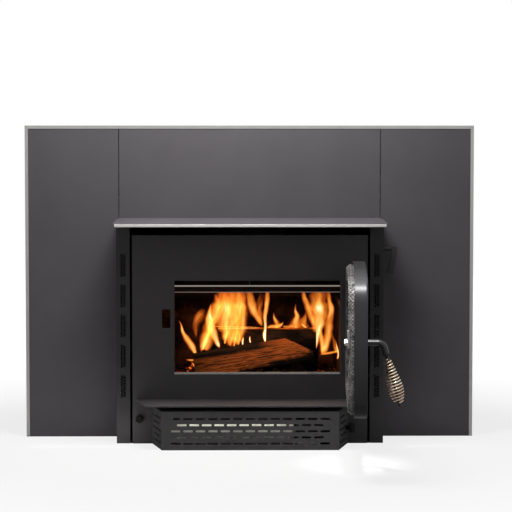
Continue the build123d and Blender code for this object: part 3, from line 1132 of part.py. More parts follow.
with BuildPart() as door_frame:
    with BuildSketch(DOOR_PLANE.offset(FRAME_OUT)):
        add(door_face(0))
    extrude(amount=DOOR_DEPTH)
    outer_face = door_frame.faces().sort_by(Axis((0, 0, 0), DOOR_PLANE.z_dir))[0]
    fillet(outer_face.edges(), DOOR_EDGE_RADIUS)
    with BuildSketch(DOOR_PLANE.offset(FRAME_IN)):
        add(door_face(DOOR_RIM))
    extrude(amount=-(DOOR_DEPTH - DOOR_FACE), mode=Mode.SUBTRACT)
    with BuildSketch(DOOR_PLANE.offset(FACE_IN)):
        with Locations(*BOSS_MIDDLES):
            Circle(CLIP_BOSS / 2)
    extrude(amount=GASKET_THICK + GLASS_THICK)
    with BuildSketch(DOOR_PLANE.offset(FACE_IN)):
        with Locations((LATCH_S, LATCH_Z)):
            Circle(LATCH_BOSS / 2)
    extrude(amount=FRAME_IN - FACE_IN)
    with BuildSketch(DOOR_PLANE.offset(FRAME_IN)):
        add(door_face(GROOVE_INSET))
        add(door_face(GROOVE_INSET + GROOVE_WIDTH), mode=Mode.SUBTRACT)
    extrude(amount=-GROOVE_DEPTH, mode=Mode.SUBTRACT)
    with BuildSketch(DOOR_PLANE.offset(FRAME_OUT)):
        add(window_face(WINDOW_INSET))
    extrude(amount=DOOR_FACE, mode=Mode.SUBTRACT)
    with BuildSketch(DOOR_PLANE.offset(FRAME_OUT)):
        with Locations((LATCH_S, LATCH_Z)):
            Circle(LATCH_SHAFT / 2 + RUNNING_GAP)
    extrude(amount=DOOR_DEPTH, mode=Mode.SUBTRACT)
    with BuildSketch(DOOR_PLANE.offset(FACE_IN)):
        with Locations(*BOSS_MIDDLES):
            Circle(SCREW_SHANK / 2)
    extrude(amount=GASKET_THICK + GLASS_THICK, mode=Mode.SUBTRACT)
    for height in HINGE_HEIGHTS:
        level = height + BRACKET_HEIGHT + HINGE_CLEARANCE
        knuckle_plane = Plane(origin=(HINGE_X, HINGE_Y, level), x_dir=DOOR_PLANE.x_dir, z_dir=(0, 0, 1))
        with BuildSketch(knuckle_plane):
            Circle(KNUCKLE_DIAMETER / 2)
            with Locations((DOOR_START / 2 + 1, 0)):
                Rectangle(DOOR_START + 2, KNUCKLE_DIAMETER * 0.8)
            Circle(PIN_DIAMETER / 2 + PIN_FIT, mode=Mode.SUBTRACT)
        extrude(amount=KNUCKLE_HEIGHT)
door_frame.part.label = "door_frame"
export_step(door_frame.part, "parts/door_frame.step")

with BuildPart() as door_glass:
    with BuildSketch(DOOR_PLANE.offset(GLASS_LEVEL)):
        add(window_face(GLASS_INSET))
    extrude(amount=GLASS_THICK)
door_glass.part.label = "door_glass"
export_step(door_glass.part, "parts/door_glass.step")

with BuildPart() as glass_gasket:
    with BuildSketch(DOOR_PLANE.offset(FACE_IN)):
        add(window_face(GLASS_INSET))
        add(window_face(GLASS_INSET + GASKET_WIDTH), mode=Mode.SUBTRACT)
    extrude(amount=GASKET_THICK)
glass_gasket.part.label = "glass_gasket"
export_step(glass_gasket.part, "parts/glass_gasket.step")

with BuildPart() as glass_clips:
    with BuildSketch(DOOR_PLANE.offset(CLIP_LEVEL)):
        with Locations(*CLIP_MIDDLES):
            Rectangle(CLIP[0], CLIP[1])
        with Locations(*BOSS_MIDDLES):
            Circle(SCREW_SHANK / 2, mode=Mode.SUBTRACT)
    extrude(amount=CLIP[2])
glass_clips.part.label = "glass_clips"
export_step(glass_clips.part, "parts/glass_clips.step")

with BuildPart() as clip_screws:
    with BuildSketch(DOOR_PLANE.offset(FACE_IN)):
        with Locations(*BOSS_MIDDLES):
            Circle(SCREW_SHANK / 2)
    extrude(amount=CLIP_LEVEL + CLIP[2] - FACE_IN)
    with BuildSketch(DOOR_PLANE.offset(CLIP_LEVEL + CLIP[2])):
        with Locations(*BOSS_MIDDLES):
            Circle(SCREW_HEAD / 2)
    extrude(amount=SCREW_HEAD_HEIGHT)
clip_screws.part.label = "clip_screws"
export_step(clip_screws.part, "parts/clip_screws.step")

with BuildPart() as rope_gasket:
    with BuildLine(DOOR_PLANE.offset(ROPE_LEVEL)) as rope_path:
        door_edges(ROPE_INSET)
    with BuildSketch(Plane(origin=rope_path.line @ 0, z_dir=rope_path.line % 0)):
        Circle(ROPE_DIAMETER / 2)
    sweep()
rope_gasket.part.label = "rope_gasket"
export_step(rope_gasket.part, "parts/rope_gasket.step")

# ================================================================ latch and handle
LEAN = radians(HANDLE_LEAN)
HANDLE_PLANE = Plane(
    origin=DOOR_PLANE.from_local_coords((LATCH_S, LATCH_Z, 0)), x_dir=-DOOR_PLANE.z_dir,
    z_dir=DOOR_PLANE.x_dir)
CORNER_OUT = -FRAME_OUT + HANDLE_CORNER
SHANK_LENGTH = GRIP_START - HANDLE_TAPER


def along_handle(distance):
    """Point of the handle's leaning part, measured from the rod's corner, in the handle's plane."""
    return (CORNER_OUT + distance * sin(LEAN), -distance * cos(LEAN))


def handle_section(distance):
    """Plane across the handle's leaning part, with its normal towards the free end."""
    return Plane(
        origin=HANDLE_PLANE.from_local_coords((*along_handle(distance), 0)), x_dir=HANDLE_PLANE.z_dir,
        z_dir=HANDLE_PLANE.x_dir * sin(LEAN) - HANDLE_PLANE.y_dir * cos(LEAN))


with BuildPart() as handle_rod:
    with BuildLine(HANDLE_PLANE) as rod_path:
        FilletPolyline((-PAWL_LEVEL, 0), (CORNER_OUT, 0), along_handle(SHANK_LENGTH), radius=HANDLE_BEND)
    with BuildSketch(Plane(origin=rod_path.line @ 0, z_dir=rod_path.line % 0)):
        Circle(LATCH_SHAFT / 2)
    sweep()
    with BuildSketch(handle_section(SHANK_LENGTH)):
        Circle(LATCH_SHAFT / 2)
    with BuildSketch(handle_section(GRIP_START)):
        Circle(HANDLE_ROD / 2)
    loft()
    with BuildSketch(handle_section(GRIP_START)):
        Circle(HANDLE_ROD / 2)
    extrude(amount=HANDLE_LENGTH - GRIP_START)
    with BuildSketch(DOOR_PLANE.offset(PAWL_LEVEL)):
        with Locations((LATCH_S, LATCH_Z)):
            Circle(LATCH_THREAD / 2)
    extrude(amount=NUT_LEVEL + NUT_THICK - PAWL_LEVEL)
handle_rod.part.label = "handle_rod"
export_step(handle_rod.part, "parts/handle_rod.step")

corner_point = HANDLE_PLANE.from_local_coords((CORNER_OUT, 0, 0))
GRIP_PLANE = Plane(
    origin=corner_point, x_dir=HANDLE_PLANE.x_dir * cos(LEAN) + HANDLE_PLANE.y_dir * sin(LEAN),
    z_dir=-HANDLE_PLANE.z_dir)
with BuildPart() as spring_grip:
    coils = len(COIL_RADII)
    between = [COIL_RADII[0]] + [(a + b) / 2 for a, b in zip(COIL_RADII, COIL_RADII[1:])] + [COIL_RADII[-1]]
    valleys = [(radius - COIL_WIRE / 16, GRIP_START + i * COIL_PITCH) for i, radius in enumerate(between)]
    wall = COIL_RADII[0] - COIL_WIRE / 16 - HANDLE_ROD / 2
    with BuildSketch(GRIP_PLANE):
        with BuildLine():
            for i, radius in enumerate(COIL_RADII):
                crown = (radius + COIL_WIRE / 2, GRIP_START + (i + 0.5) * COIL_PITCH)
                ThreePointArc(valleys[i], crown, valleys[i + 1])
            inner = [(x - wall, y) for x, y in reversed(valleys)]
            Polyline(valleys[-1], *inner, valleys[0])
        make_face()
    revolve(axis=Axis(corner_point, GRIP_PLANE.y_dir))
spring_grip.part.label = "spring_grip"
export_step(spring_grip.part, "parts/spring_grip.step")

with BuildPart() as latch_pawl:
    with BuildSketch(DOOR_PLANE.offset(PAWL_LEVEL)):
        with Locations((LATCH_S, LATCH_Z + PAWL[1] / 2 - PAWL_BELOW)):
            RectangleRounded(PAWL[0], PAWL[1], PAWL[0] / 3)
        with Locations((LATCH_S, LATCH_Z)):
            Circle(LATCH_THREAD / 2, mode=Mode.SUBTRACT)
    extrude(amount=PAWL[2])
latch_pawl.part.label = "latch_pawl"
export_step(latch_pawl.part, "parts/latch_pawl.step")

with BuildPart() as latch_nut:
    with BuildSketch(DOOR_PLANE.offset(NUT_LEVEL)):
        with Locations((LATCH_S, LATCH_Z)):
            RegularPolygon(NUT_FLATS / 2, 6, major_radius=False)
            Circle(LATCH_THREAD / 2, mode=Mode.SUBTRACT)
    extrude(amount=NUT_THICK)
latch_nut.part.label = "latch_nut"
export_step(latch_nut.part, "parts/latch_nut.step")

# ================================================================ firewood on the bricks
LEAN_DIRECTION = (cos(radians(FRONT_LOG_LEAN)), 0, sin(radians(FRONT_LOG_LEAN)))
LOG_END = Plane(origin=(FRONT_LOG_LEFT, FRONT_LOG_Y, FLOOR_TOP), x_dir=(0, 1, 0), z_dir=LEAN_DIRECTION)
LOG_SIDE = Plane(origin=LOG_END.origin, x_dir=LEAN_DIRECTION, z_dir=(0, -1, 0))
LOG_HEIGHT = max(z for _, z in FRONT_LOG_SECTION)
CROSS_LOG_RADIUS = (CROSS_LOG_X - FRONT_LOG_LEFT) * tan(radians(FRONT_LOG_LEAN) / 2) - RUNNING_GAP / 2
with BuildPart() as front_log:
    with BuildSketch(LOG_END):
        Polygon(*FRONT_LOG_SECTION, align=None)
    extrude(amount=FRONT_LOG_LENGTH)
    with BuildSketch(LOG_SIDE):
        Polygon((FRONT_LOG_LENGTH - SPLIT_END[0], LOG_HEIGHT), (FRONT_LOG_LENGTH, LOG_HEIGHT),
                (FRONT_LOG_LENGTH, LOG_HEIGHT - SPLIT_END[1]), align=None)
    extrude(amount=-LOG_HEIGHT * 2, mode=Mode.SUBTRACT)
    lengthwise = front_log.edges().filter_by(Axis(LOG_END.origin, LEAN_DIRECTION))
    fillet(lengthwise.sort_by(Axis.Z)[-1], LOG_ROUND)
front_log.part.label = "front_log"
export_step(front_log.part, "parts/front_log.step")

REAR_LOG_Z = FLOOR_TOP + REAR_LOG_DIAMETER / 2
TOP_LOG_RISE = sqrt(((REAR_LOG_DIAMETER + TOP_LOG_DIAMETER) / 2) ** 2 - (REAR_LOG_Y - TOP_LOG_Y) ** 2)
TOP_LOG_Z = REAR_LOG_Z + TOP_LOG_RISE + RUNNING_GAP
with BuildPart() as rear_logs:
    for length, diameter, x, y, z in (
            (REAR_LOG_LENGTH, REAR_LOG_DIAMETER, REAR_LOG_X, REAR_LOG_Y, REAR_LOG_Z),
            (TOP_LOG_LENGTH, TOP_LOG_DIAMETER, TOP_LOG_X, TOP_LOG_Y, TOP_LOG_Z)):
        with Locations((x, y, z)):
            Cylinder(diameter / 2, length, rotation=(0, 90, 0))
    with Locations((CROSS_LOG_X, FRONT_LOG_Y, FLOOR_TOP + CROSS_LOG_RADIUS)):
        Cylinder(CROSS_LOG_RADIUS, CROSS_LOG_LENGTH, rotation=(-90, 0, 0),
                 align=(Align.CENTER, Align.CENTER, Align.MIN))
rear_logs.part.label = "rear_logs"
export_step(rear_logs.part, "parts/rear_logs.step")
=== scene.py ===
"""Looks of the wood-burning fireplace insert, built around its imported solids.

Metres, X to the right, Y into the wall, Z up; the hearth is Z = 0 and the surround's face is Y = 0.
"""
import json
import math
import random

import bmesh
import bpy
from mathutils import Matrix, Vector, noise


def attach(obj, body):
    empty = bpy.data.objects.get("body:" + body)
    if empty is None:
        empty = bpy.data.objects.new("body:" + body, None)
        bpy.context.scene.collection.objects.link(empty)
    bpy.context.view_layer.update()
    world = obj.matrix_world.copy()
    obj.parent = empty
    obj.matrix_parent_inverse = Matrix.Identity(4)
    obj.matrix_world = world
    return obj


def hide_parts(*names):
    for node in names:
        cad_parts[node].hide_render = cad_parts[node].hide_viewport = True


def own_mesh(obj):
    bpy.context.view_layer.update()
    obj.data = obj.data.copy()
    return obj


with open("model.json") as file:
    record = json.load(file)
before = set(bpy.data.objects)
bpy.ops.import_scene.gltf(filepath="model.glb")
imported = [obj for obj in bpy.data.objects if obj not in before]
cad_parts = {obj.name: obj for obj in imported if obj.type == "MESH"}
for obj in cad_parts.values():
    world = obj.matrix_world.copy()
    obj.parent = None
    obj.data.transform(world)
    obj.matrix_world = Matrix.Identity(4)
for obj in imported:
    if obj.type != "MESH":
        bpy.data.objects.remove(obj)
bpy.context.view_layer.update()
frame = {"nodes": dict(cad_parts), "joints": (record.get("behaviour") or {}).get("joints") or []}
nodes = frame["nodes"]
MM = 0.001
# Places that a finish follows, in metres.
VENT_COLUMN = 0.3095       # middle of a column of vents, either way from X = 0
VENT_TOP = 0.436           # middle of the highest cluster
VENT_STEP = 0.074          # from one cluster to the next
VENT_SHADE_BESIDE = (0.0050, 0.0085)   # painted shade fades out between these, beside a cluster's middle
VENT_SHADE_ABOVE = (0.0245, 0.0300)    # and between these, above and below it
VENT_SHADE_FOOT = (0.100, 0.105)       # it begins between these heights
VENT_SHADE_HEAD = (0.468, 0.472)       # and ends between these
PANEL_JOINT = 0.3256       # joint between the top panel and a side panel, either way from X = 0
JOINT_FOOT = 0.54          # the painted joint shadow shows from here up
SILL_LINE = (0.1698, 0.1752)     # lower and upper edge of the painted highlight line under the firebox mouth
SILL_ENDS = (-0.186, 0.221)
SILL_EASE = 0.0006         # its edges are this soft
BRICK_FOOT = 0.13          # the bricks are least sooty down here
BRICK_SOOTED = 0.30        # and black from here up
TUBE_CREST = 0.3786        # a front tube carries a painted highlight above this
TUBE_BELLY = 0.3655        # and a fainter painted highlight below this
LOG_CREST = 0.259          # top of the logs behind
AIR_LEFT = (-0.150, -0.125)      # X where the air that fans the embers at the left end gives out
AIR_RIGHT = (0.165, 0.190)       # and where the air at the right end begins


# ---------------------------------------------------------------- helpers for materials
def colour(hex_code):
    """An sRGB hex colour as linear RGBA."""
    parts = [int(hex_code[i:i + 2], 16) / 255 for i in (1, 3, 5)]
    return tuple(c / 12.92 if c <= 0.04045 else ((c + 0.055) / 1.055) ** 2.4 for c in parts) + (1.0,)


def fill(tree, node, inputs):
    """Links or sets inputs, given by name or in the node's own order. A node stands for its first output."""
    for name, value in inputs.items() if isinstance(inputs, dict) else enumerate(inputs):
        if isinstance(value, bpy.types.Node):
            value = value.outputs[0]
        if isinstance(value, bpy.types.NodeSocket):
            tree.links.new(value, node.inputs[name])
        else:
            node.inputs[name].default_value = value


def add(tree, kind, inputs=(), stops=(), **settings):
    """Adds a node with its settings, its inputs and, for a colour ramp, its (place, hex colour) stops."""
    made = tree.nodes.new("ShaderNode" + kind)
    for name, value in settings.items():
        setattr(made, name, value)
    for index, (place, tint) in enumerate(stops):
        elements = made.color_ramp.elements
        element = elements[index] if index < len(elements) else elements.new(place)
        element.position = place
        element.color = colour(tint)
    fill(tree, made, inputs)
    return made


def blank(name):
    """A new material and its empty node tree."""
    material = bpy.data.materials.new(name)
    material.use_nodes = True
    material.node_tree.nodes.clear()
    return material, material.node_tree


def shaded(material, shader):
    """The material, once its shader is its surface."""
    add(material.node_tree, "OutputMaterial", {"Surface": shader})
    return material


def grains(tree, size_mm, stretch=(1, 1, 1), detail=3.0, roughness=0.55, turn=0.0):
    """Noise over the piece's own millimetres; size_mm is the size of one grain, turn its lean about Y."""
    scaled = add(tree, "Mapping", {
        "Vector": add(tree, "TexCoord").outputs["Object"], "Rotation": (0, turn, 0),
        "Scale": [1 / s for s in stretch]}, vector_type="TEXTURE")
    return add(tree, "TexNoise", {
        "Vector": scaled, "Scale": 1 / (size_mm * MM), "Detail": detail, "Roughness": roughness})


def own_axes(tree):
    """The piece's own X, Y and Z in metres."""
    return add(tree, "SeparateXYZ", (add(tree, "TexCoord").outputs["Object"],)).outputs


def apart(tree, value, middle):
    """How far a value lies from a middle, either way."""
    offset = add(tree, "Math", (value, middle), operation="SUBTRACT")
    return add(tree, "Math", (offset,), operation="ABSOLUTE")


def product(tree, *factors):
    """The factors multiplied together."""
    total = factors[0]
    for factor in factors[1:]:
        total = add(tree, "Math", (total, factor), operation="MULTIPLY")
    return total


def overpaint(material, share, tint):
    """Lays a second colour over a material's own, as thickly as the share says."""
    tree = material.node_tree
    shader = next(node for node in tree.nodes if node.type == "BSDF_PRINCIPLED")
    paint = shader.inputs["Base Color"].links[0].from_socket
    mixed = add(tree, "Mix", {"Factor": share, "A": paint, "B": colour(tint)}, data_type="RGBA")
    fill(tree, shader, {"Base Color": mixed.outputs[2]})
    return material


# ---------------------------------------------------------------- materials
def stove_paint(name, light, dark, rough, grit_mm=1.6, shine=0.25):
    """Silicone stove paint sprayed on steel plate: matt charcoal with a fine dry grit and a faint dust
    of ash that makes it cloudy."""
    material, tree = blank(name)
    cloud = grains(tree, 140, detail=4)
    speck = grains(tree, grit_mm, detail=2)
    return shaded(material, add(tree, "BsdfPrincipled", {
        "Base Color": add(tree, "ValToRGB", (cloud,), stops=((0.3, dark), (0.7, light))),
        "Roughness": add(tree, "MapRange", (cloud, 0.3, 0.7, rough - 0.04, rough + 0.05)),
        "Normal": add(tree, "Bump", {"Height": speck, "Distance": 0.06 * MM}),
        "Specular IOR Level": shine}))


def painted_vent_shade(material):
    """Painted shade: the paint is darker in and around each cluster of vent holes, standing in for their
    shade.
    """
    tree = material.node_tree
    place = own_axes(tree)
    beside = apart(tree, apart(tree, place["X"], 0.0), VENT_COLUMN)
    above = add(tree, "Math", (place["Z"], VENT_TOP), operation="SUBTRACT")
    above = add(tree, "Math", (above, VENT_STEP / 2), operation="PINGPONG")
    darkening = product(tree,
                   add(tree, "MapRange", (beside, *VENT_SHADE_BESIDE, 0.68, 0.0)),
                   add(tree, "MapRange", (above, *VENT_SHADE_ABOVE, 1.0, 0.0)),
                   add(tree, "MapRange", (place["Z"], *VENT_SHADE_FOOT, 0.0, 1.0)),
                   add(tree, "MapRange", (place["Z"], *VENT_SHADE_HEAD, 1.0, 0.0)))
    # Near-black painted shade over each cluster of vents.
    return overpaint(material, darkening, "#080808")


def painted_joint_shadow(material):
    """Painted shadow in the joints beside the top panel, above the hood, broken up by noise."""
    tree = material.node_tree
    place = own_axes(tree)
    beside = apart(tree, apart(tree, place["X"], 0.0), PANEL_JOINT)
    joint_shadow = product(tree,
                    add(tree, "MapRange", (beside, 0.0008, 0.0019, 0.9, 0.0)),
                    add(tree, "MapRange", (grains(tree, 25, detail=3), 0.35, 0.65, 0.55, 1.0)),
                    add(tree, "MapRange", (place["Z"], JOINT_FOOT, JOINT_FOOT + 0.02, 0.0, 1.0)))
    # Near-black painted shadow along each joint.
    return overpaint(material, joint_shadow, "#121112")


def painted_sill_highlight(material):
    """Painted highlight: a bright line along the plate's edge under the opening, broken up by noise."""
    tree = material.node_tree
    place = own_axes(tree)
    low, high = SILL_LINE
    left, right = SILL_ENDS
    highlight_break = grains(tree, 9, stretch=(0.3, 1, 1), detail=3)
    painted_highlight = product(tree,
                   add(tree, "MapRange", (place["Z"], low, low + SILL_EASE, 0.0, 1.0)),
                   add(tree, "MapRange", (place["Z"], high - SILL_EASE, high, 1.0, 0.0)),
                   add(tree, "MapRange", (place["X"], left, left + 0.003, 0.0, 1.0)),
                   add(tree, "MapRange", (place["X"], right - 0.004, right, 1.0, 0.0)),
                   add(tree, "MapRange", (highlight_break, 0.30, 0.45, 0.7, 1.0)))
    # Pale painted highlight along the sill.
    return overpaint(material, painted_highlight, "#cfcdca")


def bright_metal(name, light, dark, rough, grain_mm=0.6, metal=1.0):
    """Bare or plated metal: bright, with a grain that breaks up its shine. The grain is drawn coarser than
    the real one where that is too fine to show, and metal is below 1 where a dull film scatters the light.
    On the latch nut and the hood's strip, a near-white colour with little metal is partly painted highlight
    and reflection."""
    material, tree = blank(name)
    grain = grains(tree, grain_mm, detail=3)
    cloud = grains(tree, 30, detail=3)
    return shaded(material, add(tree, "BsdfPrincipled", {
        "Base Color": add(tree, "ValToRGB", (cloud,), stops=((0.3, dark), (0.7, light))),
        "Roughness": add(tree, "MapRange", (grain, 0.3, 0.7, rough - 0.06, rough + 0.08)),
        "Normal": add(tree, "Bump", {"Height": grain, "Distance": 0.02 * MM}),
        "Metallic": metal}))


def moulded_plastic(name, light, dark, rough):
    """Moulded thermoset or nylon: even black with a fine spark-eroded skin."""
    material, tree = blank(name)
    skin = grains(tree, 0.8, detail=2)
    return shaded(material, add(tree, "BsdfPrincipled", {
        "Base Color": add(tree, "ValToRGB", (skin,), stops=((0.3, dark), (0.7, light))),
        "Normal": add(tree, "Bump", {"Height": skin, "Distance": 0.05 * MM}),
        "Roughness": rough, "Specular IOR Level": 0.15}))


def firebrick():
    """Dry-pressed refractory brick after a season's fires: buff grog under soot that is blackest high up."""
    material, tree = blank("firebrick_sooted")
    grog = grains(tree, 2.2, detail=4)
    cloud = grains(tree, 60, detail=5, roughness=0.6)
    height = add(tree, "MapRange", (own_axes(tree)["Z"], BRICK_FOOT, BRICK_SOOTED, 0.25, 0.0))
    darkened = add(tree, "Math", (cloud, height), operation="ADD")
    darkening = add(tree, "ValToRGB", (darkened,), stops=((0.42, "#0f0b09"), (0.56, "#2b1b12"), (0.78, "#6b4a31")))
    flecks = add(tree, "ValToRGB", (grog,), stops=((0.35, "#5c4a3a"), (0.65, "#c7ac86")))
    mixed = add(tree, "Mix", {"Factor": 0.30, "A": darkening, "B": flecks}, data_type="RGBA", blend_type="OVERLAY")
    return shaded(material, add(tree, "BsdfPrincipled", {
        "Base Color": mixed.outputs[2],
        "Normal": add(tree, "Bump", {"Height": grog, "Distance": 0.5 * MM}),
        "Roughness": 0.92, "Specular IOR Level": 0.15}))


def refractory_board():
    """Rigid vermiculite board: flaky, its face blackened by soot with brown showing through."""
    material, tree = blank("vermiculite_board")
    flakes = grains(tree, 3.5, detail=3)
    stain = add(tree, "ValToRGB", (grains(tree, 70, detail=4),), stops=((0.4, "#0b0908"), (0.7, "#2a211b")))
    flecks = add(tree, "ValToRGB", (flakes,), stops=((0.35, "#40372d"), (0.65, "#8d7d66")))
    mixed = add(tree, "Mix", {"Factor": 0.3, "A": stain, "B": flecks}, data_type="RGBA", blend_type="OVERLAY")
    return shaded(material, add(tree, "BsdfPrincipled", {
        "Base Color": mixed.outputs[2],
        "Normal": add(tree, "Bump", {"Height": flakes, "Distance": 0.5 * MM}),
        "Roughness": 0.9, "Specular IOR Level": 0.1}))


def scaled_stainless(name, painted_highlight):
    """Stainless that has glowed: brown-black heat scale. A tube carries a pale painted highlight along its
    top and a fainter one along its bottom; both also glow faintly as painted light."""
    material, tree = blank(name)
    scale = grains(tree, 8, stretch=(0.25, 1, 1), detail=4)
    crust = add(tree, "ValToRGB", (scale,), stops=((0.35, "#140d0a"), (0.65, "#32211a")))
    height = own_axes(tree)["Z"]
    upper = add(tree, "MapRange", (height, TUBE_CREST, TUBE_CREST + 0.0010, 0.0, painted_highlight))
    lower = add(tree, "MapRange", (height, TUBE_BELLY, TUBE_BELLY + 0.0014, painted_highlight * 0.45, 0.0))
    highlight_share = add(tree, "Math", (upper, lower), operation="MAXIMUM")
    # Pale painted highlight bands over the heat scale.
    mixed = add(tree, "Mix", {"Factor": highlight_share, "A": crust, "B": colour("#d6cbc2")}, data_type="RGBA")
    return shaded(material, add(tree, "BsdfPrincipled", {
        "Base Color": mixed.outputs[2],
        "Roughness": add(tree, "MapRange", (highlight_share, 0.0, 1.0, 0.75, 0.45)),
        "Metallic": add(tree, "MapRange", (highlight_share, 0.0, 1.0, 0.0, 0.35)),
        "Normal": add(tree, "Bump", {"Height": scale, "Distance": 0.15 * MM}),
        "Specular IOR Level": 0.2,
        # The painted highlights also emit light: a painted glow.
        "Emission Color": add(tree, "ValToRGB", (highlight_share,), stops=((0.0, "#000000"), (1.0, "#9c9088"))),
        "Emission Strength": 0.8}))


def pane_glass():
    """Clear ceramic glass: faintly warm, with a thin grey film of smoke."""
    material, tree = blank("ceramic_glass")
    film = grains(tree, 90, detail=3)
    return shaded(material, add(tree, "BsdfPrincipled", {
        "Base Color": add(tree, "ValToRGB", (film,), stops=((0.3, "#cfc9bf"), (0.7, "#e8e4dc"))),
        "Roughness": add(tree, "MapRange", (film, 0.3, 0.7, 0.03, 0.09)),
        "Transmission Weight": 1.0, "IOR": 1.5}))


def glass_fibre(name, light, dark):
    """Knitted glass-fibre: matt yarn, paler where it is rubbed and fuzzy, nearly black between the yarns."""
    material, tree = blank(name)
    fuzz = grains(tree, 1.2, detail=3)
    both = product(tree, fuzz, grains(tree, 14, detail=4))
    return shaded(material, add(tree, "BsdfPrincipled", {
        "Base Color": add(tree, "ValToRGB", (both,), stops=((0.14, dark), (0.36, light))),
        "Normal": add(tree, "Bump", {"Height": fuzz, "Distance": 0.4 * MM}),
        "Roughness": 0.85, "Sheen Weight": 0.15}))


def firewood(name, light, dark, char, turn=0.0, crest=None):
    """Split firewood alight: long grain in warm browns, charred black in patches; without a crest the wood
    also glows faintly in its own colour, painted firelight.
    A crest height gives the glowing edge along a log's top."""
    material, tree = blank(name)
    fibre = grains(tree, 6.5, stretch=(0.035, 1, 1), detail=3, roughness=0.6, turn=turn)
    patch = grains(tree, 45, stretch=(0.6, 1, 1), detail=4, turn=turn)
    wood = add(tree, "ValToRGB", (fibre,), stops=((0.36, dark), (0.48, light), (0.54, dark), (0.64, light)))
    darkened = add(tree, "Attribute", attribute_name="darkened").outputs["Fac"]
    blackened = add(tree, "MapRange", (patch, char, char + 0.10, 0.0, 1.0))
    blackened = add(tree, "Math", (blackened, darkened), operation="MAXIMUM")
    mixed = add(tree, "Mix", {"Factor": blackened, "A": wood, "B": colour("#0a0605")}, data_type="RGBA")
    # Without a crest, the wood's own colour glows faintly: painted firelight.
    ember_glow_and_painted_light = mixed.outputs[2]
    strength = 0.2
    if crest:
        heat = product(tree,
                       add(tree, "MapRange", (own_axes(tree)["Z"], crest - 0.0035, crest, 0.0, 1.0)),
                       add(tree, "MapRange", (patch, 0.35, 0.6, 0.15, 1.0)))
        ember_glow_and_painted_light = add(tree, "ValToRGB", (heat,), stops=((0.0, "#000000"), (0.35, "#c8500e"), (1.0, "#ffc46a")))
        strength = 1.0
    return shaded(material, add(tree, "BsdfPrincipled", {
        "Base Color": mixed.outputs[2],
        "Normal": add(tree, "Bump", {"Height": fibre, "Distance": 1.2 * MM}),
        "Roughness": 0.85, "Specular IOR Level": 0.12,
        "Emission Color": ember_glow_and_painted_light, "Emission Strength": strength}))


def live_embers():
    """Charcoal bed: black under ash, glowing orange where air gets to it, at both ends of the front log."""
    material, tree = blank("ember_charcoal")
    ash = grains(tree, 3, detail=3)
    side = own_axes(tree)["X"]
    left = add(tree, "MapRange", (side, *AIR_LEFT, 0.055, 0.0))
    right = add(tree, "MapRange", (side, *AIR_RIGHT, 0.0, 0.04))
    fanned = add(tree, "Math", (left, right), operation="MAXIMUM")
    heat = add(tree, "Math", (grains(tree, 24, detail=4), fanned), operation="ADD")
    return shaded(material, add(tree, "BsdfPrincipled", {
        "Base Color": add(tree, "ValToRGB", (ash,), stops=((0.35, "#080605"), (0.7, "#2b2420"))),
        "Emission Color": add(tree, "ValToRGB", (heat,), stops=(
            (0.62, "#000000"), (0.66, "#b02c05"), (0.72, "#ff8a1e"), (0.80, "#ffe9a8"))),
        "Emission Strength": 1.0,
        "Normal": add(tree, "Bump", {"Height": ash, "Distance": 0.4 * MM}),
        "Roughness": 0.9, "Specular IOR Level": 0.1}))


def burning_gas():
    """Yellow wood flame: it only adds light, most in its hot middle, and fades at its sides, foot and tip.
    Faint streaks run up each flame."""
    material, tree = blank("wood_flame")
    across, up, own, rim, rise, burn = (
        add(tree, "Attribute", attribute_name=name).outputs["Fac"]
        for name in ("across_mm", "up_mm", "own", "across", "rise", "burn"))
    stretched = add(tree, "Mapping", {
        "Vector": add(tree, "CombineXYZ", (across, up, own)), "Scale": (1 / 15, 1 / 60, 1)})
    streak = add(tree, "TexNoise", {
        "Vector": stretched, "Scale": 1.0, "Detail": 1.5, "Roughness": 0.5, "Distortion": 0.6})
    gust = add(tree, "MapRange", (streak, 0.30, 0.70, -0.20, 0.14))
    level = product(tree,
                    add(tree, "Math", (burn, gust), operation="ADD", use_clamp=True),
                    add(tree, "MapRange", (product(tree, rim, rim), 0.0, 1.0, 1.08, 0.0)),
                    add(tree, "MapRange", (rise, 0.0, 0.10, 0.3, 1.0)),
                    add(tree, "MapRange", (rise, 0.70, 1.0, 1.0, 0.25)))
    tint = add(tree, "ValToRGB", (level,), stops=(
        (0.0, "#000000"), (0.14, "#3a1203"), (0.32, "#80390c"), (0.54, "#b86a22"), (0.76, "#dc9a4c"),
        (0.96, "#fbdcae")))
    return shaded(material, add(tree, "AddShader", (
        add(tree, "BsdfTransparent"), add(tree, "Emission", {"Color": tint, "Strength": 0.88}))))


# The surround's paint carries a painted shadow along its panel joints.
SURROUND_PAINT = painted_joint_shadow(stove_paint("surround_satin_paint", "#625f62", "#5c595c", 0.5, shine=0.1))
PLATE_PAINT = stove_paint("plate_stove_paint", "#4c494b", "#454344", 0.5, shine=0.2)
# The columns' paint carries painted shade round their vent clusters.
COLUMN_PAINT = painted_vent_shade(stove_paint("column_stove_paint", "#4a4849", "#444243", 0.5, shine=0.12))
# The front plate's paint carries a painted highlight along its sill.
FRONT_PAINT = painted_sill_highlight(stove_paint("front_plate_paint", "#4c494b", "#454344", 0.5, shine=0.2))
HOOD_PAINT = stove_paint("hood_stove_paint", "#625e62", "#5a575b", 0.42, shine=0.3)
LIP_PAINT = stove_paint("lip_stove_paint", "#504d50", "#484548", 0.45, shine=0.4)
BLOWER_PAINT = stove_paint("blower_stove_paint", "#4e4c4e", "#474547", 0.5)
DOOR_PAINT = stove_paint("door_cast_paint", "#2b2a2c", "#242325", 0.42, grit_mm=2.4, shine=0.25)
CASING_PAINT = stove_paint("casing_sheet_paint", "#2b2a2b", "#242324", 0.6)
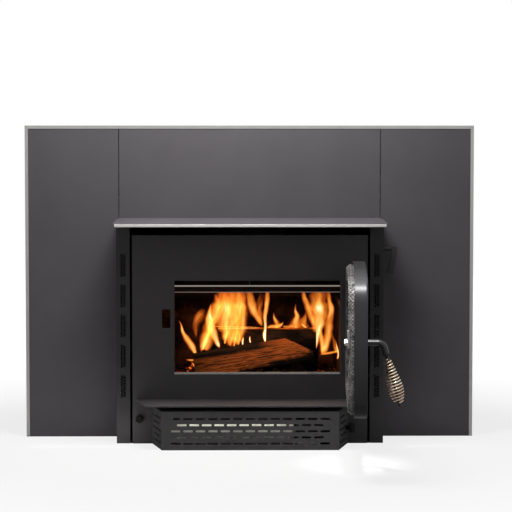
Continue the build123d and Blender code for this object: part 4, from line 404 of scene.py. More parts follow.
# Near-black, well below the casing paint, so that what shows through the vents and gaps reads dark: painted
# shade.
DUCT_SHADE_BLACK = stove_paint("duct_painted_shade_black", "#0b0b0b", "#070707", 0.8, shine=0.05)
EDGE_METAL = bright_metal("edging_satin_metal", "#b4b3b0", "#adacaa", 0.36, grain_mm=3)
# The hood's front strip: bright metal trim whose near-white colour with little metal is partly painted
# reflection.
STRIP_METAL_AND_REFLECTION = bright_metal("strip_metal_painted_reflection", "#f4f1ec", "#ece9e4", 0.5, grain_mm=60, metal=0.3)
ZINC = bright_metal("zinc_plated_steel", "#c9c7c0", "#a9a79f", 0.3)
# The latch nut's near-white colour with little metal is plating plus a painted highlight.
NUT_PLATING_AND_HIGHLIGHT = bright_metal("plated_nut_painted_highlight", "#fbf6ef", "#e9e2da", 0.35, metal=0.4)
GALVANISED = bright_metal("galvanised_sheet", "#f6f6ea", "#dfe0d2", 0.45, grain_mm=5, metal=0.4)
NICKEL = bright_metal("nickel_spring_wire", "#e6d6c0", "#b59c82", 0.2)
BLACK_STEEL = stove_paint("blacked_steel_rod", "#1d1c1e", "#161517", 0.36, shine=0.35)
BLACK_PLASTIC = moulded_plastic("black_moulded_plastic", "#14130f", "#0d0c09", 0.6)
MOTOR_PAINT = stove_paint("motor_enamel", "#1d1c1d", "#151415", 0.5)
BRICK = firebrick()
BOARD = refractory_board()
SCALED = scaled_stainless("stainless_heat_scaled", 0.0)
# The front tubes carry painted highlights along their top and bottom.
TUBE_STEEL = scaled_stainless("stainless_tube_painted_highlight", 1.0)
PANE = pane_glass()
TAPE = glass_fibre("gasket_tape_fibre", "#3b3936", "#141312")
ROPE = glass_fibre("rope_knitted_fibre", "#93918e", "#121110")
SPLIT_WOOD = firewood("firewood_split_face", "#b0622e", "#30160a", 0.66, turn=-math.radians(9))
CHAR_WOOD = firewood("firewood_charred_bark", "#33261e", "#120c09", 0.46, crest=LOG_CREST)
EMBERS = live_embers()
FLAME = burning_gas()

FINISHES = {
    "surround_left": SURROUND_PAINT, "surround_right": SURROUND_PAINT, "surround_top": SURROUND_PAINT,
    "surround_trim": EDGE_METAL, "hood_trim": STRIP_METAL_AND_REFLECTION, "hood": HOOD_PAINT, "ash_lip": LIP_PAINT,
    "front_plate": FRONT_PAINT, "side_casing_left": COLUMN_PAINT, "side_casing_right": COLUMN_PAINT,
    "hinge_brackets": PLATE_PAINT, "damper_lever": PLATE_PAINT, "blower_housing": BLOWER_PAINT,
    "door_frame": DOOR_PAINT, "door_glass": PANE, "glass_gasket": TAPE, "handle_rod": BLACK_STEEL,
    "floor_bricks": BRICK, "side_bricks": BRICK, "back_bricks": BRICK, "baffle_boards": BOARD,
    "secondary_tubes": TUBE_STEEL, "air_manifolds": SCALED, "brick_keepers": SCALED,
    "speed_controller": BLACK_PLASTIC, "speed_knob": BLACK_PLASTIC, "air_knob": BLACK_PLASTIC,
    "cord_gland": BLACK_PLASTIC, "blower_motor": MOTOR_PAINT, "fan_wheel": MOTOR_PAINT,
    # The ducts carry near-black painted shade.
    "fan_scroll": GALVANISED, "motor_bracket": GALVANISED, "air_duct_left": DUCT_SHADE_BLACK,
    "air_duct_right": DUCT_SHADE_BLACK,
    "surround_screws": ZINC, "levelling_bolts": ZINC, "damper_shaft": BLACK_STEEL, "blower_screws": ZINC,
    "fan_shaft": ZINC, "air_slide": ZINC, "hinge_pins": ZINC, "glass_clips": ZINC, "clip_screws": ZINC,
    "latch_pawl": ZINC, "latch_nut": NUT_PLATING_AND_HIGHLIGHT, "spring_grip": NICKEL, "rope_gasket": ROPE,
    "front_log": SPLIT_WOOD, "rear_logs": CHAR_WOOD,
    "base_plate": CASING_PAINT, "casing_back": CASING_PAINT, "casing_top": CASING_PAINT,
    "firebox_bottom": CASING_PAINT, "firebox_side_left": CASING_PAINT, "firebox_side_right": CASING_PAINT,
    "firebox_back": CASING_PAINT, "firebox_top": CASING_PAINT, "flue_collar": CASING_PAINT,
    "support_rails": CASING_PAINT, "primary_air_box": CASING_PAINT,
}
for name, material in FINISHES.items():
    nodes[name].data.materials.clear()
    nodes[name].data.materials.append(material)


# ---------------------------------------------------------------- helpers for shapes
def clamp(value, low=0.0, high=1.0):
    """The value, kept within its limits."""
    return min(max(value, low), high)


def loose_noise(point, size_mm, seed=0.0):
    """Smooth noise from -1 to 1 with bumps of about the given size."""
    return noise.noise(Vector(point) / (size_mm * MM) + Vector((seed, 0, 0)))


def as_mesh(name, bm):
    """The bmesh as mesh data; the bmesh is freed."""
    mesh = bpy.data.meshes.new(name)
    bm.to_mesh(mesh)
    bm.free()
    return mesh


def placed(name, data):
    """A new object of the scene with the given data."""
    made = bpy.data.objects.new(name, data)
    bpy.context.scene.collection.objects.link(made)
    return made


def finish_mesh(name, bm, material, body, replaced=()):
    """Makes a piece from a bmesh and ties it to its body."""
    bmesh.ops.recalc_face_normals(bm, faces=bm.faces)
    for face in bm.faces:
        face.smooth = True
    mesh = as_mesh(name, bm)
    mesh.materials.append(material)
    piece = placed(name, mesh)
    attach(piece, body)
    if replaced:
        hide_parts(*replaced)
    return piece


def reshape(bm, move):
    """Moves every vertex to where the given function puts it."""
    for vertex in bm.verts:
        vertex.co = move(vertex.co)


# ---------------------------------------------------------------- the door's own plane
DOOR_JOINT = next(joint for joint in frame["joints"] if joint["name"] == "door_swing")
HINGE = Vector(DOOR_JOINT["pos_m"])
HINGE.z = 0.0
OPEN = -math.radians(DOOR_JOINT["range_deg"][0])
OUTWARD = Vector((-math.cos(OPEN), -math.sin(OPEN), 0))     # from the hinge to the door's free edge
FIRE_SIDE = Vector((-math.sin(OPEN), math.cos(OPEN), 0))    # from the door's outer face to the fire side
UP = Vector((0, 0, 1))

DOOR_START = 11 * MM       # from the hinge's axis to the door's near edge
DOOR_END = 505 * MM        # and to its free edge
DOOR_BOTTOM = 133 * MM
ARCH_SPRING = 390 * MM     # height where the arched top begins
ARCH_RISE = 71 * MM
SHOULDER = 52 * MM         # radius at both ends of the arch
CORNER = 36 * MM           # radius of the lower corners
ROPE_INSET = 16.75 * MM    # from the door's edge to the rope's middle
ROPE_LEVEL = 19.65 * MM    # from the hinge's axis to the rope's middle, towards the fire side
ROPE_RADIUS = 10.15 * MM


def rope_runs():
    """The rope's centre line as (length, turn) runs, from the foot of the free edge and round to the left."""
    half = (DOOR_END - DOOR_START) / 2
    arch = (half ** 2 + ARCH_RISE ** 2 - 2 * half * SHOULDER) / (2 * (ARCH_RISE - SHOULDER))
    lean = math.atan2(arch - ARCH_RISE, half - SHOULDER)
    upright = ARCH_SPRING - DOOR_BOTTOM - CORNER
    shoulder = ((SHOULDER - ROPE_INSET) * lean, lean)
    corner = ((CORNER - ROPE_INSET) * math.pi / 2, math.pi / 2)
    crown = ((arch - ROPE_INSET) * (math.pi - 2 * lean), math.pi - 2 * lean)
    return [(upright, 0), shoulder, crown, shoulder, (upright, 0), corner, (2 * (half - CORNER), 0), corner]


ROPE_RUNS = rope_runs()
ROPE_LENGTH = sum(length for length, turn in ROPE_RUNS)


def rope_place(along):
    """Point of the rope's centre line in the door's plane, and the direction out of the loop."""
    point = Vector((DOOR_END - ROPE_INSET, DOOR_BOTTOM + CORNER))
    heading = math.pi / 2
    for length, turn in ROPE_RUNS:
        step = clamp(along, 0.0, length)
        swing = turn * step / length
        chord = 2 * length / turn * math.sin(swing / 2) if turn else step
        point = point + chord * Vector((math.cos(heading + swing / 2), math.sin(heading + swing / 2)))
        heading += swing
        along -= length
        if along <= 0:
            break
    return point, Vector((math.sin(heading), -math.cos(heading)))


STRANDS = 6                # yarns of each hand
ROPE_TURNS = 30            # turns of each yarn round the whole loop
TURN_STEPS = 24
YARN_WIDTH = 3.1 * MM      # half width along the rope
YARN_THICK = 1.35 * MM     # half thickness
WEAVE = 0.9 * MM           # how far a yarn rises over the next and dips under the one after
YARN_MIDDLE = ROPE_RADIUS - YARN_THICK - WEAVE
CORE_STEPS = 240
PAWL_PASSES = 289 * MM     # middle of the stretch that the turning pawl has pressed flat
PRESSED = 24 * MM          # half the length of that stretch
PRESSED_EASE = 16 * MM     # and how far it eases off at either end
PAWL_REACH = 25.0 * MM     # the pressed yarns come no further than this from the hinge's axis
LATCH_SIDE = 440 * MM      # they lie beyond this, at the free edge


def yarn(hand):
    """One yarn of the rope, straight: a flat tube wound round X that rises and dips over the others."""
    bm = bmesh.new()
    steps = ROPE_TURNS * TURN_STEPS
    ring = bmesh.ops.create_circle(bm, cap_ends=False, segments=6, radius=1.0)["verts"]
    bmesh.ops.scale(bm, vec=(YARN_WIDTH, YARN_THICK, 1), verts=ring)
    bmesh.ops.translate(bm, vec=(0, YARN_MIDDLE, 0), verts=ring)
    bmesh.ops.spin(bm, geom=bm.verts[:] + bm.edges[:], cent=(0, 0, 0), axis=(1, 0, 0), steps=steps,
                   dvec=(ROPE_LENGTH / steps, 0, 0), angle=hand * 2 * math.pi * ROPE_TURNS)
    crossings = STRANDS * ROPE_TURNS * 2 * math.pi / ROPE_LENGTH

    def weave(co):
        woven = 1 + hand * WEAVE * math.cos(crossings * co.x) / YARN_MIDDLE
        return Vector((co.x, co.y * woven, co.z * woven))

    reshape(bm, weave)
    return as_mesh("yarn", bm)


def rope_core():
    """The dark core that shows between the yarns, straight along X."""
    bm = bmesh.new()
    bmesh.ops.create_circle(bm, cap_ends=False, segments=10, radius=YARN_MIDDLE - YARN_THICK / 2)
    bmesh.ops.rotate(bm, cent=(0, 0, 0), matrix=Matrix.Rotation(math.pi / 2, 3, "Y"), verts=bm.verts)
    bmesh.ops.spin(bm, geom=bm.verts[:] + bm.edges[:], cent=(0, 0, 0), axis=(1, 0, 0), steps=CORE_STEPS,
                   dvec=(ROPE_LENGTH / CORE_STEPS, 0, 0), angle=0)
    return as_mesh("rope_core", bm)


def rope_braid():
    """The door's rope seal: two hands of flat yarns plaited round a dark core, laid round the door."""
    bm = bmesh.new()
    bm.from_mesh(rope_core())
    for hand in (1, -1):
        one = yarn(hand)
        for strand in range(STRANDS):
            first = len(bm.verts)
            bm.from_mesh(one)
            turn = Matrix.Rotation(2 * math.pi * (strand + 0.25 * hand) / STRANDS, 3, "X")
            bm.verts.ensure_lookup_table()
            bmesh.ops.rotate(bm, cent=(0, 0, 0), matrix=turn, verts=bm.verts[first:])

    def lay(co):
        point, outside = rope_place(co.x % ROPE_LENGTH)
        spot = point + outside * co.y
        loose = 1 + 0.05 * loose_noise((spot.x, spot.y, co.z), 9)
        point = point + outside * co.y * loose
        level = ROPE_LEVEL + co.z * loose
        if point.x > LATCH_SIDE:
            pressed = clamp(1 - (abs(point.y - PAWL_PASSES) - PRESSED) / PRESSED_EASE)
            level -= pressed * max(level - PAWL_REACH, 0)
        return HINGE + OUTWARD * point.x + UP * point.y + FIRE_SIDE * level

    reshape(bm, lay)
    bmesh.ops.remove_doubles(bm, verts=bm.verts, dist=0.01 * MM)
    rope = finish_mesh("rope_braid", bm, ROPE, "door", ["rope_gasket"])
    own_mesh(rope)


# ---------------------------------------------------------------- coil grip
GRIP_CORNER = Vector((238.27, -598.25, 298)) * MM - FIRE_SIDE * 47.2 * MM     # the rod's bend
HANDLE_LEAN = math.radians(15)
GRIP_AXIS = -FIRE_SIDE * math.sin(HANDLE_LEAN) - UP * math.cos(HANDLE_LEAN)
GRIP_START = 34 * MM       # from the bend to the first turn
COIL_PITCH = 6.5 * MM
COIL_WIRE = 3.4 * MM
# radius in millimetres at the start of each turn and at the end of the last
COIL_RADII = (5.2, 6.0, 7.4, 8.7, 9.9, 11.1, 12.4, 13.7, 14.9, 15.9, 16.4, 16.2, 15.3, 13.7, 11.3, 8.2)
COIL_BASE = 10 * MM        # radius the wire is first wound at
COIL_STEPS = 36


def coil_grip():
    """Cool grip of the handle: one spring wire wound in a long drop shape round the rod."""
    bm = bmesh.new()
    ring = bmesh.ops.create_circle(bm, cap_ends=True, segments=12, radius=COIL_WIRE / 2)["verts"]
    bmesh.ops.rotate(bm, cent=(0, 0, 0), matrix=Matrix.Rotation(math.pi / 2, 3, "X"), verts=ring)
    bmesh.ops.translate(bm, vec=(COIL_BASE, 0, COIL_PITCH / 2), verts=ring)
    turns = len(COIL_RADII) - 1
    bmesh.ops.spin(bm, geom=bm.verts[:] + bm.edges[:] + bm.faces[:], cent=(0, 0, 0), axis=(0, 0, 1),
                   steps=turns * COIL_STEPS, dvec=(0, 0, COIL_PITCH / COIL_STEPS), angle=2 * math.pi * turns)

    def wind(co):
        radius = math.hypot(co.x, co.y)
        turn = clamp(co.z / COIL_PITCH - 0.5, 0, turns - 0.001)
        near, share = int(turn), turn - int(turn)
        wanted = (COIL_RADII[near] * (1 - share) + COIL_RADII[near + 1] * share) * MM
        return Vector((co.x, co.y, 0)) * (wanted + radius - COIL_BASE) / radius + Vector((0, 0, co.z))

    reshape(bm, wind)
    side = GRIP_AXIS.cross(OUTWARD)
    turned = Matrix((OUTWARD, side, GRIP_AXIS)).transposed()
    bmesh.ops.transform(bm, matrix=Matrix.Translation(GRIP_CORNER + GRIP_AXIS * GRIP_START) @ turned.to_4x4(),
                        verts=bm.verts)
    finish_mesh("coil_grip", bm, NICKEL, "latch", ["spring_grip"])


# ---------------------------------------------------------------- firewood
FRONT_LOG_START = Vector((-134, 15, 140.5)) * MM
FRONT_LOG_LEAN = math.radians(9)
FRONT_LOG_LENGTH = 302 * MM
FRONT_LOG_SECTION = ((0, 0), (78, 0), (84, 34), (56, 64), (12, 58))     # (depth, height) in millimetres
FRONT_LOG_TOP = 64 * MM
FRONT_LOG_MIDDLE = (42 * MM, 30 * MM)
FRONT_LOG_STEPS = 90
SPLIT_END = (66 * MM, 47 * MM)     # length and height of the slant at the right end
CHAR_HIGH = 47 * MM        # the left part is charred above this height
DARK_FOOT_LINE = (-6 * MM, 28 * MM)      # the foot is darkened below a line that rises between these, left to right


def split_log():
    """The front log: a split billet with torn long grain, its right end broken away on a slant."""
    bm = bmesh.new()
    corners = [bm.verts.new((0, y * MM, z * MM)) for y, z in FRONT_LOG_SECTION]
    bm.faces.new(corners)
    bmesh.ops.bevel(bm, geom=bm.verts[:], affect="VERTICES", offset=5 * MM, segments=2, profile=0.5,
                    material=-1)
    bmesh.ops.subdivide_edges(bm, edges=bm.edges[:], cuts=5, use_grid_fill=False)
    bmesh.ops.spin(bm, geom=bm.verts[:] + bm.edges[:] + bm.faces[:], cent=(0, 0, 0), axis=(1, 0, 0),
                   steps=FRONT_LOG_STEPS, dvec=(FRONT_LOG_LENGTH / FRONT_LOG_STEPS, 0, 0), angle=0)
    corner = Vector((FRONT_LOG_LENGTH - SPLIT_END[0], 0, FRONT_LOG_TOP))
    slant = Vector((SPLIT_END[1], 0, SPLIT_END[0])).normalized()
    cut = bmesh.ops.bisect_plane(bm, geom=bm.verts[:] + bm.edges[:] + bm.faces[:], plane_co=corner,
                                 plane_no=slant, clear_outer=True)
    rim = [item for item in cut["geom_cut"] if isinstance(item, bmesh.types.BMEdge)]
    bmesh.ops.contextual_create(bm, geom=rim)
    bmesh.ops.triangulate(bm, faces=[f for f in bm.faces if len(f.verts) > 4])

    darkened = bm.verts.layers.float.new("darkened")
    for vertex in bm.verts:
        share = vertex.co.x / FRONT_LOG_LENGTH
        ragged = 5 * MM * loose_noise(vertex.co, 12, 2)
        high = clamp((vertex.co.z + ragged - CHAR_HIGH) / (6 * MM))
        line = DARK_FOOT_LINE[0] + (DARK_FOOT_LINE[1] - DARK_FOOT_LINE[0]) * share
        # The foot is darkened below a line that rises to the right; the left end is darkened a little too.
        low = clamp((line + ragged - vertex.co.z) / (5 * MM))
        end = 0.4 * clamp(1 - share / 0.2)
        left = clamp(1 - (share - 0.55) / 0.25)
        vertex[darkened] = max(end, low, high * left)

    def tear(co):
        centre = Vector((co.x, *FRONT_LOG_MIDDLE))
        out = (co - centre).normalized()
        grain = Vector((co.x * 0.05, co.y, co.z))
        ridge = abs(loose_noise(grain, 7, 3)) * 1.6 + loose_noise(grain, 3, 9) * 0.7
        chip = loose_noise(co, 38, 5) * 2.2
        return co + out * (chip - ridge) * MM

    reshape(bm, tear)
    lean = Matrix.Rotation(-FRONT_LOG_LEAN, 4, "Y")
    bmesh.ops.transform(bm, matrix=Matrix.Translation(FRONT_LOG_START) @ lean, verts=bm.verts)
    finish_mesh("split_log", bm, SPLIT_WOOD, "root", ["front_log"])


# length, radius and middle in millimetres, and the axis a log is laid down about
REAR_LOGS = (
    (300, 42, (30, 215, 182.5), "Y"),
    (252, 35, (46, 150, 224.1), "Y"),
    (100, 19.84, (120, 65, 160.34), "X"),
)
CHECK_ACROSS = 11          # size of a check in the char, across and along the grain, in millimetres
CHECK_ALONG = 17


def round_log(length, radius, seed):
    """One round log burnt to char, standing on end: checked across and along the grain."""
    bm = bmesh.new()
    bmesh.ops.create_cone(bm, cap_ends=False, segments=48, radius1=radius * MM, radius2=radius * MM,
                          depth=length * MM)
    upright = [edge for edge in bm.edges if abs(edge.verts[0].co.z - edge.verts[1].co.z) > MM]
    bmesh.ops.subdivide_edges(bm, edges=upright, cuts=int(length / 4), use_grid_fill=True)

    def burn(co):
        cells = Vector((math.atan2(co.y, co.x) * radius / CHECK_ACROSS, co.z / (CHECK_ALONG * MM), seed))
        spread = noise.voronoi(cells)[0]
        check = min(1.0, (spread[1] - spread[0]) * 4)
        swell = loose_noise(co, 60, seed) * 0.04
        return Vector((co.x, co.y, 0)) * (0.94 + 0.05 * check + swell) + Vector((0, 0, co.z))

    reshape(bm, burn)
    ends = bmesh.ops.holes_fill(bm, edges=[edge for edge in bm.edges if edge.is_boundary], sides=0)["faces"]
    bmesh.ops.inset_region(bm, faces=ends, thickness=2 * MM, depth=-1.5 * MM)
    return as_mesh("round_log", bm)


def charred_logs():
    """The logs behind: two across the fire and a thin one under them, front to back."""
    bm = bmesh.new()
    for length, radius, middle, axis in REAR_LOGS:
        first = len(bm.verts)
        bm.from_mesh(round_log(length, radius, middle[1]))
        bm.verts.ensure_lookup_table()
        laid = Matrix.Translation(Vector(middle) * MM) @ Matrix.Rotation(math.pi / 2, 4, axis)
        bmesh.ops.transform(bm, matrix=laid, verts=bm.verts[first:])
    finish_mesh("charred_logs", bm, CHAR_WOOD, "root", ["rear_logs"])


BED_TOP = 140.5 * MM
EMBER_COUNT = 420
EMBER_HEAPS = (-160, 190)  # X of both heaps, in millimetres
EMBER_LIMIT = 226          # none lies further out than this, either way from X = 0


def ember_bed():
    """Broken embers and charcoal on the bricks, thickest at both ends of the front log."""
    draw = random.Random(11)
    bm = bmesh.new()
    for _ in range(EMBER_COUNT):
        x = draw.gauss(0, 90) if draw.random() < 0.5 else draw.choice(EMBER_HEAPS) + draw.gauss(0, 26)
        y = draw.uniform(-35, 300)
        size = draw.uniform(4, 13) if y > 10 else draw.uniform(3, 7)
        x = clamp(x, size - EMBER_LIMIT, EMBER_LIMIT - size)
        lift = draw.uniform(0.1, 0.5) * size
        made = bmesh.ops.create_icosphere(bm, subdivisions=1, radius=size * MM)["verts"]
        for vertex in made:
            vertex.co *= 1 + 0.35 * loose_noise(vertex.co + Vector((x, y, 0)) * MM, size, x)
        spin = Matrix.Rotation(draw.uniform(0, 6.28), 3, "Z")
        bmesh.ops.scale(bm, vec=(1, draw.uniform(0.6, 1), draw.uniform(0.5, 0.8)), verts=made)
        bmesh.ops.rotate(bm, cent=(0, 0, 0), matrix=spin, verts=made)
        bmesh.ops.translate(bm, vec=(x * MM, y * MM, BED_TOP + lift * MM), verts=made)
    for vertex in bm.verts:
        vertex.co.z = max(vertex.co.z, BED_TOP + 0.1 * MM)
    finish_mesh("ember_bed", bm, EMBERS, "root")


# ---------------------------------------------------------------- flames
# Each flame: its depth in the fire, how hot it burns, then its points from foot to tip as (x, z, half width).
FLAMES = (
    (101, 0.92, (-76, 212, 2.5), (-86, 235, 10.1), (-99, 267, 14), (-102, 296, 8.4), (-98, 324, 2.2)),
    (107, 0.58, (-124, 201, 3.4), (-115, 233, 13.4), (-102, 267, 17.9), (-86, 301, 24.1), (-74, 329, 20.2),
     (-70, 368, 14)),
    (106, 0.60, (-105, 233, 4.5), (-101, 270, 8.4), (-86, 301, 12.9), (-80, 326, 9.5), (-87, 349, 5)),
    (107, 0.62, (-66, 230, 6.2), (-60, 250, 12.9), (-66, 278, 25.2), (-57, 306, 26.9), (-57, 334, 25.8),
     (-56, 368, 23.5)),
    (106, 0.62, (-32, 219, 5.6), (-29, 244, 15.7), (-24, 275, 22.4), (-24, 306, 21.3), (-24, 334, 18.5),
     (-22, 368, 15.7)),
    (108, 0.60, (-46, 221, 14), (-46, 250, 24.6), (-41, 278, 33.6), (-38, 306, 33.6), (-41, 340, 33.6),
     (-42, 368, 30.8)),
    (101, 0.36, (-18, 224, 2.2), (-28, 250, 6.7), (-32, 281, 6.7), (-41, 312, 7.3), (-45, 341, 6.2),
     (-49, 369, 4.5)),
    (102, 0.36, (-48, 216, 2.5), (-53, 233, 5), (-49, 259, 6.2), (-29, 290, 7.8), (-14, 318, 7.8),
     (-15, 349, 6.2), (-18, 371, 3.9)),
    (104, 0.56, (33, 267, 2.8), (24, 284, 8.4), (12, 306, 11.8), (5, 328, 12.3), (0, 354, 10.6),
     (-4, 374, 8.4)),
    (112, 0.30, (25, 272, 4.5), (30, 292, 8.4), (27, 309, 9), (30, 328, 6.7), (37, 348, 3.4)),
    (124, 0.16, (12, 296, 3.9), (19, 319, 6.2), (27, 336, 5.6), (31, 356, 2.2)),
    (101, 0.84, (40, 227, 2), (39, 245, 5.3), (41, 267, 4.2), (40, 293, 6.2), (44, 318, 7), (46, 343, 7.6),
     (47, 369, 4.5)),
    (98, 1.00, (41, 227, 1.7), (39, 242, 4.2), (41, 259, 1.7)),
    (99, 0.95, (-17, 220, 2), (-17, 229, 2.8), (-15, 241, 1.1)),
    (99, 0.95, (3, 225, 2), (1, 234, 2.5), (2, 243, 0.8)),
    (100, 0.74, (-39, 216, 2.5), (-37, 231, 3.6), (-34, 249, 1.1)),
    (100, 0.72, (-63, 222, 2.5), (-60, 239, 4.5), (-55, 259, 1.4)),
    (100, 0.62, (-120, 206, 2.2), (-114, 222, 7.3), (-108, 245, 8.4), (-105, 265, 3.4)),
    (107, 0.40, (-52, 216, 11.2), (-46, 233, 25.2), (-43, 250, 30.8), (-41, 267, 22.4)),
    (107, 0.52, (-114, 205, 5.6), (-105, 222, 14), (-103, 244, 16.8), (-100, 264, 11.2)),
    (100, 0.60, (-28, 219, 2.2), (-26, 234, 3.9), (-23, 253, 1.4)),
    (135, 0.34, (-136, 234, 2.8), (-139, 261, 9), (-132, 284, 16.3), (-123, 298, 14.6), (-114, 308, 5.1)),
    (96, 0.74, (-136, 190, 2.5), (-145, 214, 8.9), (-160, 236, 9.5), (-170, 254, 5.6), (-174, 271, 2.5),
     (-180, 283, 0.6)),
    (60, 0.70, (-128, 157, 1.7), (-137, 167, 3.6), (-147, 180, 2.5)),
    (62, 0.60, (-135, 186, 1.4), (-147, 185, 3.1), (-162, 186, 0.8)),
    (108, 0.50, (-95, 266, 1.1), (-63, 266, 2.2), (-24, 265, 2.2), (10, 264, 1.7), (46, 262, 0.8)),
    (190, 0.60, (47, 255, 2.3), (58, 258, 5.7), (74, 259, 6.3), (85, 264, 4.6), (89, 271, 0.9)),
    (196, 0.60, (76, 251, 11.4), (73, 266, 9.1), (66, 281, 4), (64, 295, 0.6)),
    (194, 0.56, (88, 258, 2.3), (100, 257, 5.1), (111, 258, 6.3), (123, 258, 4)),
    (196, 0.60, (119, 248, 18.8), (121, 267, 13.7), (125, 285, 7.7), (121, 301, 3.4), (122, 318, 0.6)),
    (202, 0.46, (143, 248, 17.7), (141, 266, 14.3), (147, 283, 6.3), (148, 296, 0.9)),
    (186, 0.80, (152, 253, 2), (143, 260, 2.8), (135, 267, 1.1)),
    (132, 0.72, (171, 203, 2.5), (174, 230, 7.3), (178, 264, 16.9), (183, 298, 25.9), (179, 327, 25.9),
     (181, 366, 24.2)),
    (128, 0.62, (189, 191, 9), (196, 216, 12.4), (203, 247, 11.8), (206, 276, 11.3), (211, 307, 9),
     (205, 335, 7.3), (203, 366, 4.5)),
    (140, 0.56, (168, 263, 5.6), (158, 292, 9.6), (149, 320, 9.6), (142, 340, 6.8), (138, 366, 3.4)),
    (120, 0.52, (188, 192, 3.9), (188, 220, 7.9), (183, 248, 6.7), (179, 271, 2.2)),
    (118, 0.40, (226, 195, 6.2), (220, 217, 6.2), (215, 237, 2.5), (211, 254, 0.6)),
    (112, 0.66, (226, 181, 2), (229, 195, 3.4), (225, 212, 2.2), (221, 232, 0.6)),
    (110, 0.56, (230, 203, 1.4), (213, 199, 3.9), (196, 196, 3.6), (180, 193, 1.4)),
)
FLAME_RINGS = 56
FLAME_SIDES = 20
FLAME_THICK = 7            # most a flame is thick, either way from its middle, in millimetres
FLAME_RIPPLE = 0.32        # share of its width that a flame's sides waver by
FLAME_WAVER = 16           # over about this height, in millimetres
APART = 10                 # the flames stand this far apart while they are straight
CLOSES_OVER = (0.06, 0.04) # share of a flame's height over which its foot and its tip close


def flame_line(points):
    """A smooth line through a flame's points, as (x, z, half width) at every ring."""
    ends = [points[0], *points, points[-1]]
    line = []
    for ring in range(FLAME_RINGS + 1):
        place = min(ring / FLAME_RINGS * (len(points) - 1), len(points) - 1.001)
        i, t = int(place), place - int(place)
        a, b, c, d = (Vector(point) for point in ends[i:i + 4])
        bend, twist = 2 * a - 5 * b + 4 * c - d, 3 * b - a - 3 * c + d
        line.append(0.5 * (2 * b + (c - a) * t + bend * t ** 2 + twist * t ** 3))
    return line


def flame_tongues():
    """The fire: flat bodies of burning gas that lean and taper. Each point keeps its place in its flame."""
    draw = random.Random(5)
    bm = bmesh.new()
    for index in range(len(FLAMES)):
        ring = bmesh.ops.create_circle(bm, cap_ends=False, segments=FLAME_SIDES, radius=1)["verts"]
        bmesh.ops.translate(bm, vec=(index * APART, 0, 0), verts=ring)
    bmesh.ops.spin(bm, geom=bm.verts[:] + bm.edges[:], cent=(0, 0, 0), axis=(0, 0, 1), steps=FLAME_RINGS,
                   dvec=(0, 0, 1), angle=0)
    kept = [bm.verts.layers.float.new(name)
            for name in ("rise", "across", "up_mm", "across_mm", "own", "burn")]
    lines = [flame_line(flame[2:]) for flame in FLAMES]
    seeds = [draw.uniform(0, 50) for _ in FLAMES]
    for vertex in bm.verts:
        index, ring = round(vertex.co.x / APART), round(vertex.co.z)
        across, deep = vertex.co.x - index * APART, vertex.co.y
        rise = ring / FLAME_RINGS
        depth, heat = FLAMES[index][:2]
        line, seed = lines[index], seeds[index]
        x, z, width = line[ring]
        run = line[min(ring + 1, FLAME_RINGS)] - line[max(ring - 1, 0)]
        run = Vector((run.x, run.y)).normalized()
        closed = min(1.0, math.sqrt(rise / CLOSES_OVER[0])) * min(1.0, math.sqrt((1 - rise) / CLOSES_OVER[1]))
        rough = [loose_noise((seed * MM * 9, z * MM, side * MM * 30), FLAME_WAVER, seed) for side in (-1, 1)]
        ripple = 1 + FLAME_RIPPLE * (rough[0] * (1 - across) / 2 + rough[1] * (1 + across) / 2)
        reach = max(width, 0.3) * closed * ripple
        for layer, value in zip(kept, (rise, across, z, across * width, seed, heat)):
            vertex[layer] = value
        vertex.co = Vector((x + run.y * across * reach, depth + deep * min(reach * 0.5, FLAME_THICK),
                            z - run.x * across * reach)) * MM
    bmesh.ops.remove_doubles(bm, verts=bm.verts, dist=0.001 * MM)
    finish_mesh("fire_flames", bm, FLAME, "root")


# ---------------------------------------------------------------- floor, light and camera
def pale_floor():
    """Pale floor that keeps a soft shadow and turns to plain white a little way off."""
    bm = bmesh.new()
    bmesh.ops.create_grid(bm, x_segments=1, y_segments=1, size=6)
    bmesh.ops.translate(bm, vec=(0, 0, -0.5 * MM), verts=bm.verts)
    mesh = as_mesh("floor", bm)
    material, tree = blank("pale_floor")
    lit = add(tree, "BsdfDiffuse", {"Color": colour("#e9e9e9")})
    white = add(tree, "Emission", {"Color": colour("#ffffff"), "Strength": 1.08})
    middle = add(tree, "VectorMath", (add(tree, "TexCoord").outputs["Object"],), operation="LENGTH")
    share = product(tree, add(tree, "LightPath").outputs["Is Camera Ray"],
                    add(tree, "MapRange", (middle.outputs["Value"], 0.7, 1.8, 0.75, 1.0)))
    mesh.materials.append(shaded(material, add(tree, "MixShader", (share, lit, white))))
    placed("floor", mesh)


def surroundings():
    """White all round for the camera, for reflections and through glass; dim as a light."""
    world = bpy.data.worlds.new("studio")
    bpy.context.scene.world = world
    world.use_nodes = True
    tree = world.node_tree
    tree.nodes.clear()
    ray = add(tree, "LightPath").outputs
    seen = add(tree, "Math", (ray["Is Camera Ray"], ray["Is Glossy Ray"]), operation="MAXIMUM")
    seen = add(tree, "Math", (seen, ray["Is Transmission Ray"]), operation="MAXIMUM")
    soft = add(tree, "Background", {"Color": colour("#ffffff"), "Strength": 0.11})
    white = add(tree, "Background", {"Color": colour("#ffffff"), "Strength": 1.0})
    add(tree, "OutputWorld", {"Surface": add(tree, "MixShader", (seen, soft, white))})


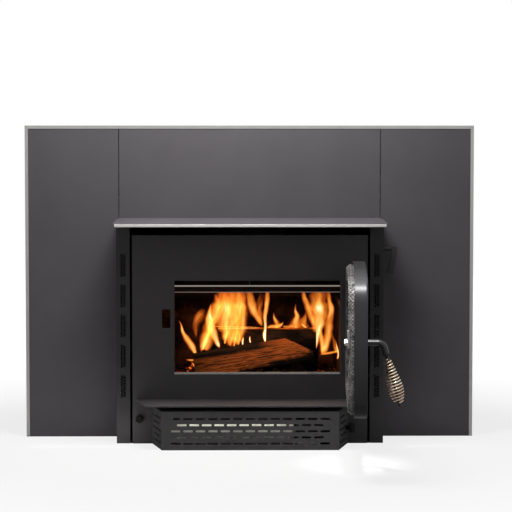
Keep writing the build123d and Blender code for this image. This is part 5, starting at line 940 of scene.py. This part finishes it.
# name, place, target, size in metres, watts, tint; a lamp without a size is a spot
LAMPS = (
    ("soft_top", (-0.08, -0.45, 1.35), (-0.02, 0, 0.7), (0.5, 0.25), 10.7, "#ffffff"),
    ("soft_left", (-2.6, -2.6, 1.3), (0, -0.1, 0.35), (1.2, 1.8), 4.6, "#ffffff"),
    ("soft_right", (2.8, -2.4, 1.2), (0, -0.1, 0.35), (0.8, 1.6), 2.5, "#ffffff"),
    ("door_spot", (0.25, -1.1, 1.3), (0.243, -0.638, 0.425), None, 170, "#ffffff"),
    ("bounce_left", (-0.40, -0.18, 0.02), (-0.40, 0, 0.08), (0.26, 0.10), 0.09, "#ffffff"),
    ("bounce_right", (0.44, -0.18, 0.02), (0.44, 0, 0.08), (0.16, 0.10), 0.05, "#ffffff"),
    ("box_light", (-0.04, -0.214, 0.088), (-0.04, -0.17, 0.05), (0.26, 0.003), 0.10, "#f6f6ea"),
    ("firelight", (0.05, -0.01, 0.355), (0.05, 0.06, 0.15), (0.28, 0.03), 0.40, "#ffc48e"),
)
SPOT_ANGLE = math.radians(10)
SPOT_RADIUS = 0.06


def lamps():
    """Soft light from above and from both sides, and five lamps that light one place each."""
    for name, place, target, size, power, tint in LAMPS:
        lamp = bpy.data.lights.new(name, "AREA" if size else "SPOT")
        if size:
            lamp.shape = "RECTANGLE"
            lamp.size, lamp.size_y = size
        else:
            lamp.spot_size, lamp.spot_blend, lamp.shadow_soft_size = SPOT_ANGLE, 1.0, SPOT_RADIUS
        lamp.energy = power
        lamp.color = colour(tint)[:3]
        holder = placed(name, lamp)
        holder.location = place
        holder.rotation_euler = (Vector(target) - Vector(place)).to_track_quat("-Z", "Y").to_euler()
        holder.visible_camera = False


CAMERA_PLACE = (-0.0351, -4.5, 0.7038)
CAMERA_TURN = math.radians(-0.65)
CAMERA_TILT = math.radians(-3.19)
CAMERA_LENS = 126.9        # millimetres, on a sensor 36 mm wide


def camera():
    """The photograph's viewpoint: 4.5 m away, slightly to the left of the middle, looking a little down."""
    lens = bpy.data.cameras.new("view")
    lens.lens = CAMERA_LENS
    lens.sensor_width = 36.0
    holder = placed("view", lens)
    turn = Matrix.Rotation(CAMERA_TURN, 4, "Z") @ Matrix.Rotation(math.pi / 2 + CAMERA_TILT, 4, "X")
    holder.matrix_world = Matrix.Translation(CAMERA_PLACE) @ turn
    bpy.context.scene.camera = holder


rope_braid()
coil_grip()
split_log()
charred_logs()
ember_bed()
flame_tongues()
pale_floor()
surroundings()
lamps()
camera()
bpy.context.scene.view_settings.view_transform = "Standard"
